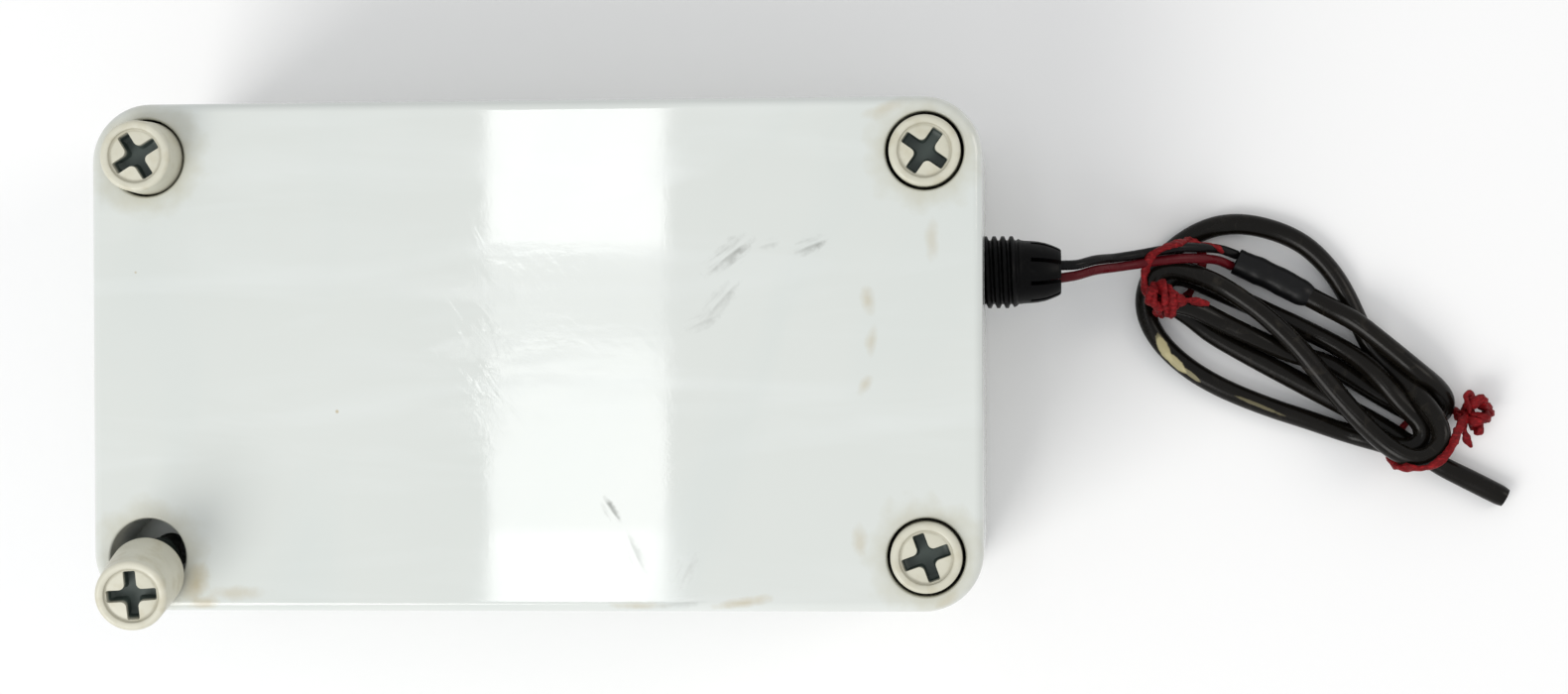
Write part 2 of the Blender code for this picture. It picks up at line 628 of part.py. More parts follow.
def hank_outline():
    """The hank's outer shape, through a few points round its outermost turns."""
    edge = ((-31.8, -2.5), (-31.2, -6.5), (-28.0, -11.6), (-21.5, -15.2), (-11.0, -16.1), (0.0, -14.0),
            (11.5, -10.3), (20.5, -7.2), (27.5, -5.8), (33.0, -3.4), (34.6, 0.8), (34.0, 5.0),
            (32.2, 9.0), (28.0, 12.3), (16.0, 13.3), (9.0, 13.6), (2.0, 17.2), (-9.0, 19.8),
            (-21.0, 16.6), (-29.0, 9.0))
    closed = [hank_point(a, c, 0) for a, c in edge]
    looped = smooth_path(closed[-1:] + closed + closed[:2], 3 * MM)
    first = min(range(len(looped)), key=lambda i: (looped[i] - closed[0]).length)
    last = max(i for i, p in enumerate(looped) if (p - closed[0]).length < 0.01 * MM)
    return [(p.x, p.y) for p in looped[first:last]]


def build_hank():
    """One closed solid of the wound cable, with a trench for the sleeve and the leads."""
    outline = hank_outline()
    hank = prism("cable_hank", outline, 0.1 * MM, HANK_HEIGHT, "cable_grey")
    start = hank_point(-38, -1.5, 0)
    end = hank_point(-1.6, 10.9, 0)
    middle = (start + end) / 2
    length = (end - start).length
    trench = block("trench", (length, TRENCH_WIDTH, 4 * HANK_HEIGHT), (0, 0, 0))
    direction = (end - start).normalized()
    turn = Matrix.Rotation(math.atan2(direction.y, direction.x), 4, "Z")
    place(trench, Matrix.Translation((middle.x, middle.y, 0)) @ turn)
    combine(hank, [trench], "DIFFERENCE")


def build_tail():
    """The cable's free end, lying on the surface beyond the hank."""
    route = [(36.8, -0.5, 2.0), (40.7, 0.2, 2.0), (45.3, 1.0, 2.0), (49.5, 1.7, 2.0)]
    tube("cable_tail", [hank_point(*p) for p in route], CABLE_RADIUS, "cable_grey", 5 * MM)


def build_ties():
    """Each tie is a thin cord over its end of the hank, with a flattened knot."""
    top = HANK_HEIGHT / MM + 0.3 + 1.0
    left = [(-30.6, -6.4, top), (-29.6, -8.6, top), (-27.0, -9.8, top), (-23.5, -8.5, top)]
    right = [(26.0, -5.5, top), (29.5, -5.0, top), (32.5, -1.5, top), (32.5, 3.5, top), (30.5, 8.0, top)]
    knots = {"tie_left": (-24.0, -8.0, top + 0.4), "tie_right": (31.0, 7.6, top + 0.4)}
    for name, route in (("tie_left", left), ("tie_right", right)):
        path = smooth_path([hank_point(*p) for p in route], 2 * MM)
        rings = []
        for i, point in enumerate(path):
            ahead = (path[min(i + 1, len(path) - 1)] - path[max(i - 1, 0)]).normalized()
            side = Vector((0, 0, 1)).cross(ahead).normalized()
            rings.append([point + (side * math.cos(a) + Vector((0, 0, 0.6)) * math.sin(a)) * 1.5 * MM
                          for a in (math.pi * k / 4 for k in range(8))])
        tie = loft(name, rings, "tie_red")
        bm = bmesh.new()
        bmesh.ops.create_icosphere(bm, subdivisions=2, radius=3.0 * MM)
        bmesh.ops.scale(bm, vec=(1.1, 0.9, 0.42), verts=bm.verts)
        bmesh.ops.translate(bm, vec=hank_point(*knots[name]), verts=bm.verts)
        combine(tie, [add_object("knot", bm)], "UNION")


def build():
    clear_scene()
    build_base()
    build_lid()
    build_gasket()
    build_lid_screws()
    build_gland()
    build_board()
    build_terminal_block()
    build_components()
    build_learn_button()
    build_battery()
    build_inner_wiring()
    build_leads()
    build_sleeve()
    build_hank()
    build_tail()
    build_ties()


build()
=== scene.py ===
"""Looks of the garage door opener's receiver: a moulded box, its screws and gland, and a tied hank of cable.

Every piece is made in metres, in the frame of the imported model, and rides on one of its bodies.
"""

import math

import bmesh
import bpy
from mathutils import Matrix, Vector, noise


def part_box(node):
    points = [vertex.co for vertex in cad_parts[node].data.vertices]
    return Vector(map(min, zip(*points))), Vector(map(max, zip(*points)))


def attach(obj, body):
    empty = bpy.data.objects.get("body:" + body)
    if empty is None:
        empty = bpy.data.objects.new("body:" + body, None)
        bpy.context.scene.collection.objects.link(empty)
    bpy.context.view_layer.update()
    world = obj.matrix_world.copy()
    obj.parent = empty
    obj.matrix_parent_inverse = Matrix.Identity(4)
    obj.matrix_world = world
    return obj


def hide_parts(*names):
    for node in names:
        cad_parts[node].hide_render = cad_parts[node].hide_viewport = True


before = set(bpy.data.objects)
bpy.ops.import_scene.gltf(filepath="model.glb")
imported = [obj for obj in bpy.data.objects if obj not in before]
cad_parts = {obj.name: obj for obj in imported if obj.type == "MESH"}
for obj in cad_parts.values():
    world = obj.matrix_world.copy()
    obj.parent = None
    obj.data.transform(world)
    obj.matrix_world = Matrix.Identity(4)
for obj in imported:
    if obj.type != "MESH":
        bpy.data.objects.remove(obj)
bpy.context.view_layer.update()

MM = 0.001
UP = Vector((0, 0, 1))


def cad_box(name):
    """The low corner, the high corner and the middle of a CAD node's box."""
    low, high = (Vector(corner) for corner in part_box(name))
    return low, high, (low + high) / 2


# Enclosure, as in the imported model
LID_LOW, LID_HIGH, _ = cad_box("lid_shell")
HALF_X, HALF_Y, TOP_Z = LID_HIGH
PARTING_Z = cad_box("base_shell")[1].z
GAP = 0.3 * MM
WALL = 3 * MM
CORNER_RADIUS = 10.5 * MM
LID_EDGE = 1.8 * MM
BASE_EDGE = 1.0 * MM
LIP_EDGE = 0.45 * MM
SEAM_EDGE = 0.25 * MM
SEAM_MIDDLE = 0.07 * MM
COLUMN_X = 59.5 * MM
COLUMN_Y = 26 * MM
SCREW_X = 69 * MM
SCREW_Y = 35.4 * MM
RECESS_RADIUS = 6.85 * MM
SEAT_Z = 45 * MM
SHANK_HOLE = 3.3 * MM
BORE_FLOOR_Z = 27 * MM
POST_X = (16 * MM, 52 * MM)
POST_Y = 34 * MM

# Gland
GLAND_Y = 14.9 * MM
GLAND_Z = 22 * MM
THREAD_PITCH = 1.6 * MM
NOSE_END_X = 93.2 * MM

# Screws
HEAD_RADIUS = 6.25 * MM
HEAD_FOOT = 6.62 * MM
HEAD_HEIGHT = 15 * MM
SHANK_RADIUS = 3 * MM
SHANK_LENGTH = 16 * MM
HEAD_TOP = SHANK_LENGTH + HEAD_HEIGHT
HEAD_RIM = 4.75 * MM
SCREW_PITCH = 1.25 * MM

# The screw that is out: its lean, the side it leans to, and its tip from the middle of the seat
LOOSE_LEAN = math.radians(12)
LOOSE_TOWARDS = Vector((0.45, -0.89, 0)).normalized()
LOOSE_TIP = Vector((-1.2, 0.2, 1.0)) * MM

# Cords
LEAD_DIAMETER = 1.8 * MM
CABLE_DIAMETER = 3.8 * MM
HANK_CENTRE = Vector((137 * MM, 0, 0))
HANK_ALONG = Vector((0.8, -0.6, 0))
HANK_ACROSS = Vector((0.6, 0.8, 0))
STRAND_HEIGHT = 2.0

# Camera, in metres, with its lens and sensor in millimetres
CAMERA_PLACE = (0.08362, 0.003635, 0.5793)
CAMERA_LEAN_X = math.radians(4.324)
CAMERA_LEAN_Y = math.radians(0.254)
CAMERA_ROLL = math.radians(-0.289)
LENS = 68.53
SENSOR_WIDTH = 36


def link(name, data):
    """Puts an object with this data into the scene."""
    obj = bpy.data.objects.new(name, data)
    bpy.context.scene.collection.objects.link(obj)
    return obj


# ---------------------------------------------------------------- camera

def build_camera():
    """A long lens above the lid, looking straight down but for a few degrees."""
    forward = Vector((-math.tan(CAMERA_LEAN_X), -math.tan(CAMERA_LEAN_Y), -1)).normalized()
    right = forward.cross(Vector((0, 1, 0))).normalized()
    axes = Matrix((right, right.cross(forward), -forward)).transposed()
    roll = Matrix.Rotation(CAMERA_ROLL, 3, "Z")
    data = bpy.data.cameras.new("camera")
    data.sensor_width = SENSOR_WIDTH
    data.lens = LENS
    data.clip_start = 0.01
    camera = link("camera", data)
    camera.matrix_world = Matrix.Translation(CAMERA_PLACE) @ (axes @ roll).to_4x4()
    bpy.context.scene.camera = camera


build_camera()


# ---------------------------------------------------------------- materials

class Finish:
    """A procedural material whose colour, gloss and relief vary over the surface."""

    def __init__(self, name, dark, light, scale, rough, metallic=0.0, specular=0.5):
        self.material = bpy.data.materials.new(name)
        self.material.use_nodes = True
        self.tree = self.material.node_tree
        self.shader = self.tree.nodes["Principled BSDF"]
        self.shader.inputs["Metallic"].default_value = metallic
        self.shader.inputs["Specular IOR Level"].default_value = specular
        self.place = self.add("ShaderNodeTexCoord").outputs["Object"]
        self.color = self.blend(self.noise(scale, 5), dark, light)
        self.rough = self.spread(self.noise(scale * 2.3, 4), 0.35, 0.65, *rough)
        self.height = None

    def add(self, kind, inputs=None, **settings):
        made = self.tree.nodes.new(kind)
        for key, value in settings.items():
            setattr(made, key, value)
        for key, value in (inputs or {}).items():
            if isinstance(value, bpy.types.NodeSocket):
                self.tree.links.new(value, made.inputs[key])
            else:
                made.inputs[key].default_value = value
        return made

    def mapped(self, offset=(0, 0, 0), turn=0.0, stretch=(1, 1, 1)):
        """The surface's coordinates, moved so that offset is the origin, turned about Z and stretched."""
        settings = {"Vector": self.vector("SUBTRACT", self.place, offset), "Angle": -turn}
        turned_back = self.add("ShaderNodeVectorRotate", settings, rotation_type="Z_AXIS").outputs[0]
        return self.vector("MULTIPLY", turned_back, stretch)

    def noise(self, scale, detail=3.0, place=None, distortion=0.0):
        settings = {"Vector": place or self.place, "Scale": scale, "Detail": detail, "Distortion": distortion}
        return self.add("ShaderNodeTexNoise", settings).outputs["Fac"]

    def spread(self, value, low, high, out_low=0.0, out_high=1.0):
        settings = {"Value": value, "From Min": low, "From Max": high, "To Min": out_low, "To Max": out_high}
        return self.add("ShaderNodeMapRange", settings, clamp=True).outputs[0]

    def math(self, operation, first, second=0.0):
        return self.add("ShaderNodeMath", {0: first, 1: second}, operation=operation).outputs[0]

    def vector(self, operation, first, second=(0, 0, 0)):
        made = self.add("ShaderNodeVectorMath", {0: first, 1: second}, operation=operation)
        return made.outputs["Value" if operation in ("LENGTH", "DOT_PRODUCT") else "Vector"]

    def coordinate(self, axis):
        return self.add("ShaderNodeSeparateXYZ", {0: self.place}).outputs[axis]

    def blend(self, factor, first, second):
        first = (*first, 1) if isinstance(first, tuple) else first
        second = (*second, 1) if isinstance(second, tuple) else second
        return self.add("ShaderNodeMix", {0: factor, 6: first, 7: second}, data_type="RGBA").outputs[2]

    def paint(self, mask, color, rough=None):
        self.color = self.blend(mask, self.color, color)
        if rough is not None:
            self.rough = self.add("ShaderNodeMix", {0: mask, 2: self.rough, 3: rough}).outputs[0]

    def patches(self, value, low, high, strength, color, rough):
        """Paints where value passes from low to high, up to this strength."""
        self.paint(self.spread(value, low, high, 0.0, strength), color, rough)

    def marks(self, rows, height, edge, color, rough):
        """Paints a spot for each row; edge is the softness, raggedness and grain of their outlines."""
        for x, y, reach, turn, stretch, strength in rows:
            mask = self.spot((x * MM, y * MM, height), reach * MM, math.radians(turn), stretch, *edge)
            self.paint(self.math("MULTIPLY", mask, strength), color, rough)

    def relief(self, value, depth):
        """Adds depth metres of relief where value is 1."""
        scaled = self.math("MULTIPLY", value, depth)
        self.height = scaled if self.height is None else self.math("ADD", self.height, scaled)

    def grain(self, scale, detail, depth, place=None):
        """Noisy relief, with its depth in millimetres."""
        self.relief(self.noise(scale, detail, place), depth * MM)

    def spot(self, centre, reach, turn, stretch, soft, ragged, grain):
        """A soft-edged ragged patch about a point, stretched along a direction in the plane of the lid."""
        distance = self.vector("LENGTH", self.mapped(centre, turn, (1 / stretch, 1, 1)))
        uneven = self.math("MULTIPLY", self.noise(grain, 5), ragged * 2 * reach)
        total = self.math("ADD", distance, uneven)
        return self.spread(total, reach * (1 + ragged), reach * (1 + ragged - soft))

    def shade_and_grime(self, distance, color, strength):
        """Painted shade, partly grime: darker where ambient occlusion finds corners, slots and recesses."""
        shade = self.add("ShaderNodeAmbientOcclusion", {"Distance": distance}, samples=6).outputs["AO"]
        self.patches(shade, 0.88, 0.42, strength, color, 0.7)

    def done(self):
        self.tree.links.new(self.color, self.shader.inputs["Base Color"])
        self.tree.links.new(self.rough, self.shader.inputs["Roughness"])
        if self.height is not None:
            bump = self.add("ShaderNodeBump", {"Height": self.height, "Strength": 1.0, "Distance": 1.0})
            self.tree.links.new(bump.outputs[0], self.shader.inputs["Normal"])
        return self.material


def moulded_grey():
    """Inside faces and the base: glossy moulded plastic with faint clouds and handling marks."""
    finish = Finish("moulded_grey", (0.54, 0.57, 0.545), (0.61, 0.63, 0.605), 14, (0.16, 0.24))
    finish.grain(1400, 3, 0.004)
    finish.grain(55, 2, 0.05)
    finish.patches(finish.noise(38, 6), 0.60, 0.78, 0.25, (0.42, 0.41, 0.35), 0.35)
    return finish.done()


def lid_grey():
    """The lid's plastic, with the stains, scuffs and scratches of years on a wall, and painted shade in its
    recesses.
    """
    finish = Finish("lid_grey", (0.555, 0.585, 0.56), (0.625, 0.645, 0.62), 11, (0.02, 0.04))
    streaky = finish.mapped(stretch=(0.16, 1.0, 1.0))
    middle = finish.spot((-12 * MM, 2 * MM, TOP_Z), 26 * MM, 0, 1.6, 1.2, 0.1, 60)
    ripples = finish.math("MULTIPLY", finish.noise(330, 4, streaky, 0.5), middle)
    finish.relief(ripples, 0.030 * MM)
    dents = finish.noise(260, 4, finish.mapped(turn=math.radians(-52), stretch=(0.5, 1.3, 1)), 0.8)
    finish.relief(finish.math("MULTIPLY", finish.spread(dents, 0.48, 0.70), middle), 0.0085 * MM)
    finish.grain(24, 2, 0.035, finish.mapped(stretch=(0.3, 1, 1)))
    finish.grain(1700, 2, 0.0012)
    finish.patches(finish.noise(90, 6, streaky, 0.8), 0.50, 0.72, 0.34, (0.66, 0.69, 0.68), 0.14)
    bands = finish.spread(finish.noise(210, 5, streaky, 0.7), 0.44, 0.62, 0.0, 0.85)
    finish.paint(finish.math("MULTIPLY", bands, middle), (0.585, 0.61, 0.59), 0.24)
    wiped = finish.noise(34, 5, finish.mapped(turn=math.radians(70), stretch=(0.3, 1, 1)), 0.6)
    finish.patches(wiped, 0.50, 0.75, 0.30, (0.52, 0.57, 0.56), 0.12)
    finish.marks(STAINS, TOP_Z, (0.8, 0.5, 420), (0.42, 0.36, 0.23), 0.34)
    for x, y, reach, turn, stretch, strength in SCUFFS:
        centre = (x * MM, y * MM, TOP_Z)
        angle = math.radians(turn)
        mask = finish.spot(centre, reach * MM, angle, stretch, 0.7, 0.6, 900)
        hairs = finish.noise(420, 4, finish.mapped(centre, angle, (0.16, 1.6, 1)), 0.3)
        mask = finish.math("MULTIPLY", mask, finish.spread(hairs, 0.42, 0.62))
        finish.paint(finish.math("MULTIPLY", mask, strength), (0.25, 0.26, 0.24), 0.45)
    rings = [(x / MM, y / MM, 11.5, 0, 1, 0.50) for x, y in corners()]
    finish.marks(rings, TOP_Z, (0.40, 0.30, 260), (0.43, 0.41, 0.30), 0.22)
    # Painted shade, partly grime, darkens the screw recesses and the other hollows of the lid.
    finish.shade_and_grime(2.2 * MM, (0.30, 0.30, 0.24), 0.45)
    return finish.done()


# x, y, reach in millimetres, turn in degrees, stretch, strength
STAINS = (
    (59.0, 9.5, 1.6, 100, 1.8, 0.50), (59.6, 2.2, 1.2, 80, 2.4, 0.45), (58.4, -5.4, 1.3, 60, 1.6, 0.45),
    (57.4, -32.6, 1.6, 90, 2.0, 0.42), (37.0, -43.4, 1.2, 10, 5.0, 0.60), (-53.0, -41.8, 1.6, 0, 3.5, 0.40),
    (70.2, 20.0, 1.4, 90, 3.0, 0.35), (-34.8, -9.7, 0.42, 0, 1.0, 0.95), (-70.9, 15.1, 0.3, 0, 1.0, 0.9),
    (18.0, -44.0, 1.0, 0, 6.0, 0.45), (-60.3, -40.0, 2.6, 75, 1.6, 0.75), (-59.0, -43.6, 1.6, 10, 2.4, 0.6),
    (62.0, 42.6, 1.4, 20, 3.0, 0.40), (72.6, -43.0, 1.5, 40, 2.0, 0.45),
)
SCUFFS = (
    (34.6, 17.4, 2.4, 38, 2.4, 0.75), (48.9, 19.0, 1.6, 22, 2.3, 0.75), (33.0, 9.4, 2.0, 48, 2.6, 0.50),
    (30.2, 6.0, 1.8, 24, 2.2, 0.40), (41.8, 19.4, 1.1, 15, 1.8, 0.35), (13.8, -27.2, 1.3, 125, 2.3, 0.85),
    (26.8, -38.0, 2.2, 65, 2.2, 0.32), (18.0, -35.0, 1.8, 115, 2.6, 0.28), (26.0, -43.2, 1.3, 5, 4.0, 0.35),
)


def screw_plastic(where, tip, axis):
    """Yellowed plastic of a lid screw, with grime round its rim, and painted shade, partly grime, deep in its
    slots.
    """
    finish = Finish(f"screw_plastic_{where}", (0.46, 0.45, 0.365), (0.60, 0.585, 0.485), 160, (0.30, 0.46))
    finish.patches(finish.noise(330, 6), 0.50, 0.72, 0.55, (0.42, 0.385, 0.27), 0.5)
    finish.grain(900, 4, 0.02)
    local = finish.vector("SUBTRACT", finish.place, tip)
    radius = finish.vector("LENGTH", finish.vector("CROSS_PRODUCT", local, axis))
    height = finish.vector("DOT_PRODUCT", local, axis)
    rough_radius = finish.math("ADD", radius, finish.math("MULTIPLY", finish.noise(700, 3), 0.5 * MM))
    corner = finish.spread(finish.math("ABSOLUTE", finish.math("SUBTRACT", rough_radius, 4.85 * MM)),
                           0.45 * MM, 0.1 * MM, 0.0, 0.40)
    finish.paint(corner, (0.25, 0.23, 0.16), 0.5)
    # Painted shade, partly grime: the slots grow dark towards their floors, where little light reaches.
    slot_shade_depth = finish.spread(height, HEAD_TOP - 0.75 * MM, HEAD_TOP - 2.0 * MM)
    inside = finish.spread(radius, HEAD_RIM, HEAD_RIM - 0.15 * MM)
    finish.paint(finish.math("MULTIPLY", slot_shade_depth, inside), (0.050, 0.068, 0.060), 0.55)
    return finish.done()


def black_nylon():
    finish = Finish("black_nylon", (0.0010, 0.0010, 0.0011), (0.0035, 0.0035, 0.0036), 240, (0.30, 0.46),
                    0, 0.07)
    finish.patches(finish.noise(420, 6), 0.62, 0.80, 0.4, (0.014, 0.014, 0.013), 0.55)
    finish.grain(2600, 3, 0.006)
    return finish.done()


def seal_rubber():
    finish = Finish("seal_rubber", (0.018, 0.018, 0.018), (0.035, 0.034, 0.033), 300, (0.62, 0.80))
    finish.grain(1900, 4, 0.012)
    return finish.done()


def wire_skin(name, dark, light):
    """Smooth wire insulation with a little dust on it."""
    finish = Finish(name, dark, light, 260, (0.22, 0.36), 0, 0.14)
    finish.patches(finish.noise(620, 5), 0.60, 0.80, 0.10, (0.10, 0.075, 0.065), 0.6)
    finish.grain(700, 3, 0.012)
    return finish.done()


def cable_sheath():
    """Dark warm grey sheath: satin, scuffed, with pale wear where the cable was bent and rubbed, and a
    painted highlight streak along one strand.
    """
    finish = Finish("cable_sheath", (0.0022, 0.0018, 0.0013), (0.0075, 0.0062, 0.0046), 120, (0.18, 0.30),
                    0, 0.15)
    finish.patches(finish.noise(340, 6, None, 0.6), 0.58, 0.76, 0.45, (0.030, 0.025, 0.018), 0.40)
    # Pale wear spots, and one thin painted highlight streak, at the height of the strands' tops.
    finish.marks(SHEATH_WEAR_AND_HIGHLIGHT, 3.6 * MM, (0.22, 0.22, 900), (0.46, 0.41, 0.23), 0.36)
    finish.grain(1500, 4, 0.010)
    finish.grain(170, 2, 0.06)
    return finish.done()


# x, y, reach in millimetres, turn in degrees, stretch, strength
# The first three rows are pale wear on one strand; the last, thin row is a painted highlight along that
# strand's ridge.
SHEATH_WEAR_AND_HIGHLIGHT = ((113.1, 0.4, 1.10, -64, 2.9, 0.85), (115.2, -2.2, 1.00, -47, 3.0, 0.80),
               (118.2, -4.6, 0.55, -40, 4.5, 0.40), (131.4, -10.6, 0.45, -22, 14.0, 0.22))


def shrink_sleeve():
    finish = Finish("shrink_sleeve", (0.0028, 0.0028, 0.0030), (0.0065, 0.0065, 0.0070), 180, (0.28, 0.44),
                    0, 0.16)
    finish.grain(1300, 4, 0.02)
    finish.grain(260, 3, 0.10, finish.mapped(stretch=(0.4, 1, 1)))
    return finish.done()


def tie_ribbon():
    """Crumpled red ribbon: fine threads over larger creases."""
    finish = Finish("tie_ribbon", (0.040, 0.0010, 0.0016), (0.21, 0.0045, 0.0070), 520, (0.45, 0.75), 0, 0.15)
    threads = finish.noise(2400, 3, finish.mapped(stretch=(0.35, 1, 1)))
    finish.patches(threads, 0.48, 0.72, 0.5, (0.42, 0.016, 0.020), 0.6)
    finish.relief(threads, 0.10 * MM)
    finish.grain(620, 4, 0.22)
    return finish.done()


def solder_mask():
    """Green board with copper tracks under the mask and tinned pads."""
    finish = Finish("solder_mask", (0.010, 0.085, 0.030), (0.016, 0.115, 0.045), 60, (0.22, 0.34))
    for turn, scale in ((0.0, 480), (math.pi / 2, 390)):
        wave = finish.add("ShaderNodeTexWave", {"Vector": finish.mapped(turn=turn), "Scale": scale / 6.28})
        cells = finish.add("ShaderNodeTexVoronoi", {"Vector": finish.place, "Scale": 95},
                           distance="CHEBYCHEV").outputs["Color"]
        chosen = finish.spread(cells, 0.45, 0.55)
        track = finish.math("MULTIPLY", finish.spread(wave.outputs["Fac"], 0.66, 0.74), chosen)
        finish.paint(track, (0.035, 0.20, 0.075), 0.30)
        finish.relief(track, 0.03 * MM)
    pads = finish.add("ShaderNodeTexVoronoi", {"Vector": finish.place, "Scale": 240})
    pads.inputs["Randomness"].default_value = 0.25
    dots = finish.spread(pads.outputs["Distance"], 0.20, 0.14)
    finish.paint(finish.math("MULTIPLY", dots, finish.spread(finish.noise(120, 1), 0.52, 0.56)),
                 (0.52, 0.50, 0.44), 0.28)
    return finish.done()


def plain_plastic(name, dark, light, rough=(0.32, 0.48)):
    finish = Finish(name, dark, light, 220, rough)
    finish.grain(1600, 3, 0.012)
    # Painted shade, partly grime, darkens the hollows and corners of these parts.
    finish.shade_and_grime(1.5 * MM, tuple(0.35 * c for c in dark), 0.5)
    return finish.done()


def plated_metal(name, dark, light, rough=(0.22, 0.38)):
    finish = Finish(name, dark, light, 260, rough, metallic=1.0)
    finish.grain(1500, 3, 0.008, finish.mapped(stretch=(0.2, 1, 1)))
    return finish.done()


def banded(name, body, bands):
    """A part that lies along Y, with painted bands: (centre y, half width, colour) in metres."""
    finish = Finish(name, tuple(0.85 * c for c in body), body, 300, (0.28, 0.42))
    y = finish.coordinate("Y")
    for centre, half, color in bands:
        away = finish.math("ABSOLUTE", finish.math("SUBTRACT", y, centre))
        finish.paint(finish.spread(away, half * 1.1, half * 0.9), color)
    finish.grain(1400, 3, 0.006)
    return finish.done()


def cell_wrap(x_centre):
    """A plain dark wrap with a copper-coloured end and bare steel caps."""
    finish = Finish(f"cell_wrap_{round(x_centre / MM)}", (0.012, 0.012, 0.014), (0.02, 0.02, 0.023), 90,
                    (0.18, 0.30))
    y = finish.coordinate("Y")
    finish.paint(finish.spread(y, 12.0 * MM, 12.2 * MM), (0.55, 0.25, 0.10), 0.22)
    ends = finish.spread(finish.math("ABSOLUTE", y), 23.9 * MM, 24.0 * MM)
    finish.paint(ends, (0.50, 0.50, 0.50), 0.3)
    finish.grain(500, 3, 0.01)
    return finish.done()


# ---------------------------------------------------------------- mesh tools

def solid(bm, name="tool"):
    """An object in the scene from a bmesh, which is freed."""
    bmesh.ops.recalc_face_normals(bm, faces=bm.faces)
    mesh = bpy.data.meshes.new(name)
    bm.to_mesh(mesh)
    bm.free()
    return link(name, mesh)


def add_piece(name, bm, material, body, replaced=(), sharp=32):
    """A smooth-shaded piece that rides on a body and stands for CAD nodes."""
    return dress(solid(bm, name), material, body, replaced, sharp)


def dress(obj, material, body, replaced=(), sharp=32, flat=False):
    obj.data.shade_smooth()
    obj.data.set_sharp_from_angle(angle=math.radians(sharp))
    obj.data.materials.clear()
    obj.data.materials.append(material)
    if flat:
        normals = obj.modifiers.new("flat faces stay flat", "WEIGHTED_NORMAL")
        normals.keep_sharp = True
    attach(obj, body)
    if replaced:
        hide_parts(*replaced)
    return obj


def combine(target, tools, operation):
    """Applies exact booleans to the target's mesh and deletes the tools."""
    for tool in tools:
        modifier = target.modifiers.new(tool.name, "BOOLEAN")
        modifier.operation = operation
        modifier.solver = "EXACT"
        modifier.object = tool
    bpy.context.view_layer.update()
    graph = bpy.context.evaluated_depsgraph_get()
    mesh = bpy.data.meshes.new_from_object(target.evaluated_get(graph))
    target.modifiers.clear()
    target.data = mesh
    for tool in tools:
        bpy.data.objects.remove(tool, do_unlink=True)
    return target


def skin(rings, closed=False, cap=True):
    """A bmesh over rings of equal length."""
    bm = bmesh.new()
    loops = [[bm.verts.new(p) for p in ring] for ring in rings]
    pairs = list(zip(loops, loops[1:]))
    if closed:
        pairs.append((loops[-1], loops[0]))
    elif cap:
        bm.faces.new(list(reversed(loops[0])))
        bm.faces.new(loops[-1])
    for lower, upper in pairs:
        for i in range(len(lower)):
            j = (i + 1) % len(lower)
            bm.faces.new((lower[i], lower[j], upper[j], upper[i]))
    return bm


def turned(profile, segments, matrix=None, closed=False):
    """(radius, height) points turned about +Z."""
    rings = []
    for radius, height in profile:
        rings.append([Vector((radius * math.cos(2 * math.pi * i / segments),
                              radius * math.sin(2 * math.pi * i / segments), height))
                      for i in range(segments)])
    bm = skin(rings, closed)
    if matrix is not None:
        bmesh.ops.transform(bm, matrix=matrix, verts=bm.verts)
    return bm


def threaded(profile, thread, segments, closed=False):
    """A turned body with a helical thread: thread is (start, end, root, crest, pitch)."""
    start, end, root, crest, pitch = thread
    rings = []
    for radius, height in profile:
        ring = []
        for i in range(segments):
            angle = 2 * math.pi * i / segments
            r = radius
            if radius == root and start <= height <= end:
                phase = (height / pitch - i / segments) % 1.0
                tooth = max(0.0, min(1.0, 2.4 * (1 - abs(2 * phase - 1)) - 0.55))
                fade = min(1.0, (height - start) / pitch, (end - height) / pitch)
                r = root + (crest - root) * tooth * max(0.0, fade)
            ring.append(Vector((r * math.cos(angle), r * math.sin(angle), height)))
        rings.append(ring)
    return skin(rings, closed)


def mm(*points):
    """Points given in millimetres, in metres."""
    return [tuple(value * MM for value in point) for point in points]


def steps(start, end, count):
    return [start + (end - start) * i / count for i in range(count + 1)]


def fillet(centre, radius, start, end, count):
    """Points of an arc in degrees, as (x, y)."""
    angles = [math.radians(a) for a in steps(start, end, count)]
    return [(centre[0] + radius * math.cos(a), centre[1] + radius * math.sin(a)) for a in angles]


def rounded_edge(radius, count):
    """A quarter round from the side to the top, as (inset, rise)."""
    return [(radius * (1 - math.cos(a)), radius * math.sin(a)) for a in steps(0, math.pi / 2, count)]


def rounded_rectangle(half_x, half_y, radius, count=14):
    points = []
    for quarter, (sx, sy) in enumerate(((1, 1), (-1, 1), (-1, -1), (1, -1))):
        centre = (sx * (half_x - radius), sy * (half_y - radius))
        points += fillet(centre, radius, 90 * quarter, 90 * quarter + 90, count)
    return points


def flat_ring(outline, z):
    return [Vector((x, y, z)) for x, y in outline]


def cavity_outline(offset):
    """The inside of the box, which steps inwards round the four corner columns."""
    half_x = HALF_X - WALL + offset
    half_y = HALF_Y - WALL + offset
    step_x = COLUMN_X + offset
    step_y = COLUMN_Y + offset
    outer = 3 * MM + offset
    inner = 4 * MM - offset
    corner = fillet((half_x - outer, step_y - outer), outer, 0, 90, 6)
    corner += fillet((step_x + inner, step_y + inner), inner, 270, 180, 6)
    corner += fillet((step_x - outer, half_y - outer), outer, 0, 90, 6)
    upper = corner + [(-x, y) for x, y in reversed(corner)]
    return upper + [(-x, -y) for x, y in upper]


def prism(outline, low, high):
    return skin([flat_ring(outline, low), flat_ring(outline, high)])


def ring_prism(outer, inner, low, high):
    return skin([flat_ring(outer, low), flat_ring(outer, high), flat_ring(inner, high),
                 flat_ring(inner, low)], closed=True)


